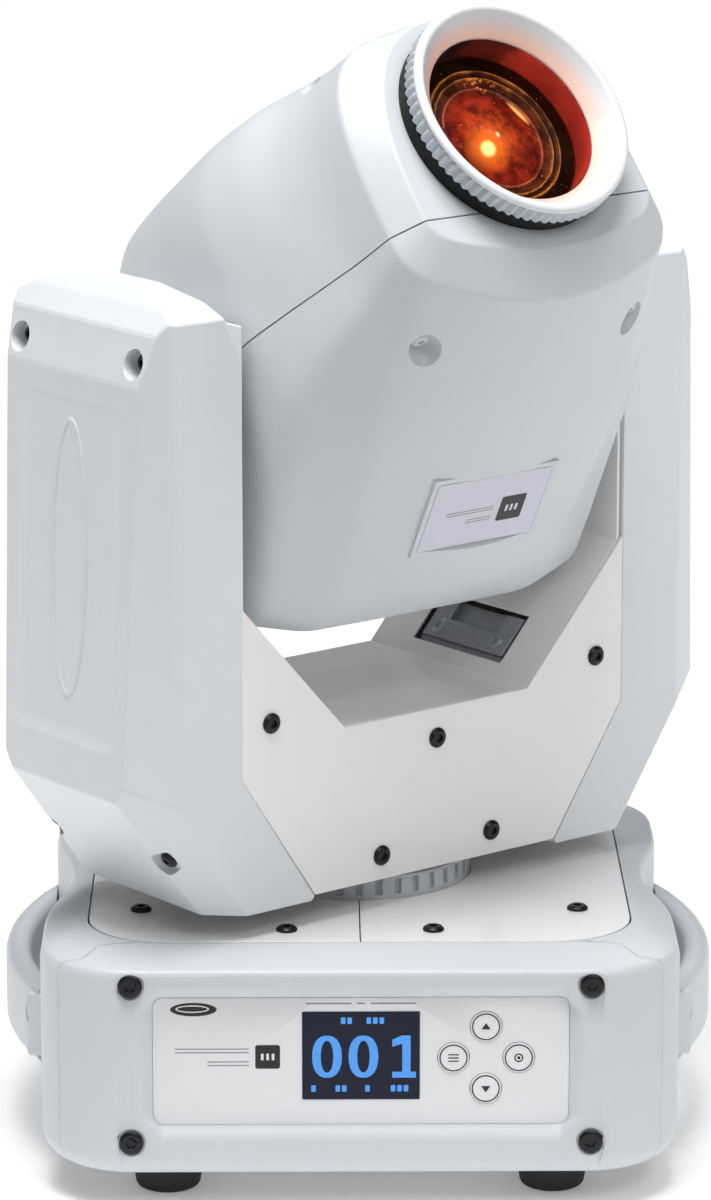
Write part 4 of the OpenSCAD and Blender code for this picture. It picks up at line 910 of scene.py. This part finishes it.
# -------------------- carried-over CAD nodes
# look, bevel width in mm and the angle above which an edge is bevelled, then the nodes
LOOKS = {
    ("shell", 0.25, 35): "vent_collar",
    ("plate", 0.3, 35): "top_plate_left top_plate_right",
    ("plate", 0.35, 20): "yoke_front_plate yoke_rear_plate",
    ("plate", 0.3, 20): "yoke_frame",
    ("screen", 0.1, 35): "display",
    ("screw", 0.2, 35): "bezel_screws top_plate_screws handle_screws yoke_plate_screws arm_cover_screws",
    ("shell", 0.15, 35): "head_screws",
    ("rubber", 0.5, 25): "rubber_feet",
    ("black", 0.3, 35): "power_inlet data_input_socket data_output_socket fan_frame",
    ("steel", 0.4, 35): "power_supply",
    ("board", 0.15, 35): "main_board",
    ("bright", 0.2, 35): "pan_bearing tilt_bearings",
    ("screw", 0.4, 35): "pan_motor tilt_motor",
    ("bright", 0.1, 35): "pan_motor_pulley tilt_motor_pulley gobo_wheel",
    ("rubber", 0.1, 35): "pan_belt tilt_belt",
    ("steel", 0.3, 35): "pan_shaft tilt_shafts",
    ("bright", 0.15, 35): "pan_pulley tilt_pulley heat_sink",
    ("bracket", 0.35, 35): "yoke_bracket",
    ("steel", 0.2, 35): "head_frame",
    ("black", 0.35, 35): "neck_ring",
    ("lilac", 0.1, 35): "label_plate",
    ("brass", 0.15, 35): "led_engine",
    ("black", 0.2, 35): "fan_rotor lens_barrel",
    ("brass", 0.1, 35): "colour_wheel",
    ("steel", 0.25, 35): "base_chassis",
}
for node, look, width, angle in [(node, *key) for key, names in LOOKS.items() for node in names.split()]:
    ob = frame["nodes"][node]
    if ob.hide_render:
        continue
    ob.data.materials.clear()
    ob.data.materials.append(M[look])
    weld(ob, 2e-6)
    flatten(ob)
    bevel(ob, width, angle=angle)
    weighted(ob)


# -------------------- arm covers
ARM_LEAN = atan2(6.6, 312 - 157)
SUNK_LOW, SUNK_TALL, SUNK_DEEP = 17, 129, 1.7


def sunk(z):
    """The depth of the arm's sunken panel, less towards its top."""
    return SUNK_DEEP - 1.4 * min(1.0, max(0.0, (z - SUNK_LOW) / SUNK_TALL))


def arm_covers():
    low, half_d, wall = 110.0, 48.0, 2.8
    across = Matrix(((1, 0, 0, 0), (0, 0, -1, 0), (0, 1, 0, 0), (0, 0, 0, 1)))
    along = Matrix(((0, 0, 1, 0), (1, 0, 0, 0), (0, 1, 0, 0), (0, 0, 0, 1)))

    def block(name, d, soft):
        front = [(84.8 + d, 300), (84.8 + d, 150), (50, low - 2.4 + d), (104 - d * 0.4, low - 2.4 + d),
                 (141 - d, 157 + d * 0.4), (134.4 - d, 312), (129 - d, 331 - d * 0.6),
                 (122 - d * 0.6, 339 - d), (114.5, 345 - d), (107, 345 - d), (102 + d * 0.5, 339 - d)]
        side = [(-half_d + d, 90), (half_d - d, 90), (half_d - d, 335 - d * 0.5), (38, 340.5 - d),
                (18, 345 - d), (-18, 345 - d), (-38, 340.5 - d), (-half_d + d, 335 - d * 0.5)]
        plan = [(30, -half_d + d), (122.5 - d * 0.6, -half_d + d), (141 - d, -36.6 + d * 0.4),
                (141 - d, 36.6 - d * 0.4), (122.5 - d * 0.6, half_d - d), (30, half_d - d)]
        ob = prism(name, front, -60, 60, across)
        cut(ob, [prism("side", side, 20, 160, along), prism("plan", plan, 80, 360)], "INTERSECT")
        for k in (-1, 1):
            # a facet blunts the lower outer corner
            away = Vector((0.62, 0.66 * k, -0.42))
            plane = Matrix.Translation((Vector((104, half_d * k, low - 2.4)) - away * (8.0 + d)) * MM)
            plane = plane @ away.to_track_quat("Z", "Y").to_matrix().to_4x4()
            cut(ob, [boxy("corner", (-200, -200, 0), (200, 200, 300), plane)])
        weld(ob, 2e-6)
        flatten(ob, 0.3)
        if soft:
            bevel(ob, soft, 5, 5, True)
        return bake(ob)

    def seam(d):
        return prism("seam", [(93.6 + d, 400), (93.6 + d, 160.3 + d), (59.6 + 1.5 * d, low - 0.4 + d),
                              (61.2 + 1.5 * d, low - 2.4 + d), (61.2 + 1.5 * d, 80), (200, 80), (200, 400)],
                     -60, 60, across)

    screws = [((126, k * 35, 320), (160, k * 35, 320)) for k in (-1, 1)]
    turn = radians(90) + atan2(37, 49.5)
    out = Vector((sin(turn), 0, cos(turn)))
    screws += [(Vector((117.5, k * 35, 132.3)), Vector((117.5, k * 35, 132.3)) + out * 34) for k in (-1, 1)]
    ob = block("arm_cover", 0.0, 2.6)
    cut(ob, [seam(0)], "INTERSECT")
    hollow = block("hollow", wall, 0)
    cut(hollow, [seam(wall)], "INTERSECT")
    cut(hollow, [rod("boss", 8, Vector(a) + (Vector(a) - Vector(b)).normalized() * 5, b) for a, b in screws])
    cut(ob, [hollow])
    tilt = shift(141, 0, 157) @ Matrix.Rotation(-ARM_LEAN, 4, "Y")
    rings = []
    for t in np.linspace(0, 1.5, 12):
        m, q = 6.0 * (1 - t), cos(pi / 2 * min(t, 1.0)) if t <= 1 else -(t - 1) * 1.57
        ring = []
        for y, z in rounded_rect(31 - m, (SUNK_TALL - 1.6 * m) / 2, max(1.0, 5 - m * 0.6), 5, 0,
                                 SUNK_LOW + SUNK_TALL / 2 + 0.3 * m):
            ring.append((-sunk(z) * q, y, z))
        rings.append(ring)
    cutters = [lofted("panel", rings, tilt), rod("bearing", 14.6, (80, 0, 305), (100, 0, 305))]
    cutters += [rod("bore", 5.6, a, b) for a, b in screws]
    cut(ob, cutters)
    sharpen(ob, 34)
    weighted(ob, True)
    bake(ob)
    for side in ("right", "left"):
        me = ob.data.copy()
        me.transform(YOKE if side == "right" else YOKE @ Matrix.Scale(-1, 4, (1, 0, 0)))
        if side == "left":
            me.flip_normals()
        finish_piece(new_object(f"arm_{side}", me), M["arm"], "yoke", [f"arm_cover_{side}"])
    bpy.data.objects.remove(ob)


arm_covers()


# -------------------- carrying handles of the base
def handles():
    reach, bar, half_h, end, mid_y, mid_z = 161.0, 5.0, 16.0, radians(24.6), 4.0, 55.0
    centre = 137.5 - reach
    section = [(bar * cos(a), copysign(half_h - bar, sin(a)) + bar * sin(a))
               for a in np.radians(np.arange(7.5, 360, 15))]
    rings = []
    for t in np.linspace(-end, end, 61):
        c, q = cos(t), sin(t)
        rings.append([(centre + (reach - bar - x) * c, mid_y + (reach - bar - x) * q, mid_z + z)
                      for x, z in section])
    ob = lofted("handle_right_grip", rings)
    for y in (-60, 68):
        inward = -copysign(2, y)
        steps = ((119.0, 5.0, 12.0, 0.0), (125.6, 4.2, 13.0, inward), (126.4, 3.4, 12.2, inward))
        pad = [[(x, y + dy + u, mid_z + v) for u, v in rounded_rect(w, h, 2.2)] for x, w, h, dy in steps]
        cut(ob, [lofted("pad", pad)], "UNION")
    cutters = [boxy("wall", (90, -100, 20), (120.2, 100, 90))]
    for y in (-57, 65):
        cutters += [rod("hole", 2.2, (110, y, 57), (140, y, 57)),
                    rod("seat", 5.0, (122.5, y, 57), (145, y, 57))]
    cut(ob, cutters)
    sharpen(ob, 38)
    other = ob.copy()
    other.data = ob.data.copy()
    other.name = "handle_left_grip"
    other.data.transform(Matrix.Scale(-1, 4, (1, 0, 0)))
    other.data.flip_normals()
    bpy.context.scene.collection.objects.link(other)
    finish_piece(ob, M["base"], "base", ["handle_right"])
    finish_piece(other, M["base"], "base", ["handle_left"])


handles()


# -------------------- plain embossed oval on each arm
def arm_ovals():
    half_w, half_h, mid_z = 10.5, 51.5, 86
    n, m = 120, 10
    for s, side in ((-1, "left"), (1, "right")):
        verts = []
        for i in range(n):
            a = 2 * pi * i / n
            cy, cz = half_w * cos(a), mid_z + half_h * sin(a)
            nrm = np.array([cos(a) / half_w, sin(a) / half_h])
            nrm /= np.linalg.norm(nrm)
            for k in range(m):
                b = 2 * pi * k / m
                off, up = 1.1 * cos(b), 0.55 * sin(b)
                verts.append((up - sunk(cz), cy + nrm[0] * off, cz + nrm[1] * off))
        faces = []
        for i in range(n):
            j = (i + 1) % n
            for k in range(m):
                q = (k + 1) % m
                faces.append((i * m + k, j * m + k, j * m + q, i * m + q))
        place = YOKE @ shift(141, 0, 157) @ Matrix.Rotation(-ARM_LEAN, 4, "Y")
        if s < 0:
            place = YOKE @ Matrix.Scale(-1, 4, (1, 0, 0)) @ YOKE.inverted() @ place
        ob = mesh_object(f"arm_oval_{side}", verts, faces, place)
        if s < 0:
            ob.data.flip_normals()
        finish_piece(ob, M["arm"], "yoke")


arm_ovals()


# -------------------- set: floor, light and camera
def studio():
    # one wide flat floor, so that the object is seen against it from every side
    floor = lofted("floor", [[(x, y, z) for x, y in disc_outline(11000, 96)] for z in (-20, 0)])
    mat = Nodes("floor_white")
    speck = mat.ramp(mat.noise(3.0, 2.0, 0.5), [(0.3, (0.94, 0.94, 0.94)), (0.7, (0.96, 0.96, 0.96))])
    far = length(mat, mat.coord)
    depth = mat.add("ShaderNodeSeparateXYZ", {0: mat.coord}).outputs[1]
    pale = mat.span(depth, 0.50, 1.0, -0.75, -0.15)
    glow = math_node(mat, "MULTIPLY", mat.span(far, 0.20, 0.82, 0.25, 1.7),
                     mat.span(depth, 0.12, 1.0, -0.75, -0.15))
    col = vector_node(mat, "MULTIPLY", speck, pale)
    mat.surface(Base_Color=col, Roughness=0.6, Emission_Color=(1, 1, 1, 1), Emission_Strength=glow)
    floor.data.materials.append(mat.mat)

    def area(name, place, target, size, power):
        light = bpy.data.lights.new(name, "AREA")
        light.shape, light.size, light.size_y, light.energy = "RECTANGLE", *size, power
        ob = new_object(name, light)
        ob.location = place
        ob.rotation_euler = (Vector(target) - Vector(place)).to_track_quat("-Z", "Y").to_euler()

    area("key", (0.95, -1.5, 1.9), (0, 0, 0.28), (0.8, 0.8), 11)
    area("top", (-0.15, -0.35, 1.9), (0, 0, 0.2), (1.0, 0.9), 32)
    area("back", (0.4, 1.5, 1.7), (0, 0, 0.25), (1.2, 1.0), 7)
    world = bpy.data.worlds.new("soft_white")
    world.use_nodes = True
    sky = world.node_tree.nodes["Background"].inputs
    sky[0].default_value, sky[1].default_value = (0.96, 0.98, 1.0, 1), 0.18
    bpy.context.scene.world = world
    bpy.context.scene.view_settings.view_transform = "Standard"


def camera():
    """The photograph's camera, solved from the outline of the base and the arms."""
    cam = bpy.data.cameras.new("camera")
    cam.lens, cam.sensor_width, cam.sensor_fit = 157.3, 36.0, "AUTO"
    ob = new_object("camera", cam)
    ob.location = (-0.0205, -1.9603, 0.6896)
    yaw, pitch = 0.010, 0.242
    look = Vector((sin(yaw) * cos(pitch), cos(yaw) * cos(pitch), -sin(pitch)))
    ob.rotation_euler = look.to_track_quat("-Z", "Y").to_euler()
    cam.clip_start, cam.clip_end = 0.05, 20
    bpy.context.scene.camera = ob


studio()
camera()
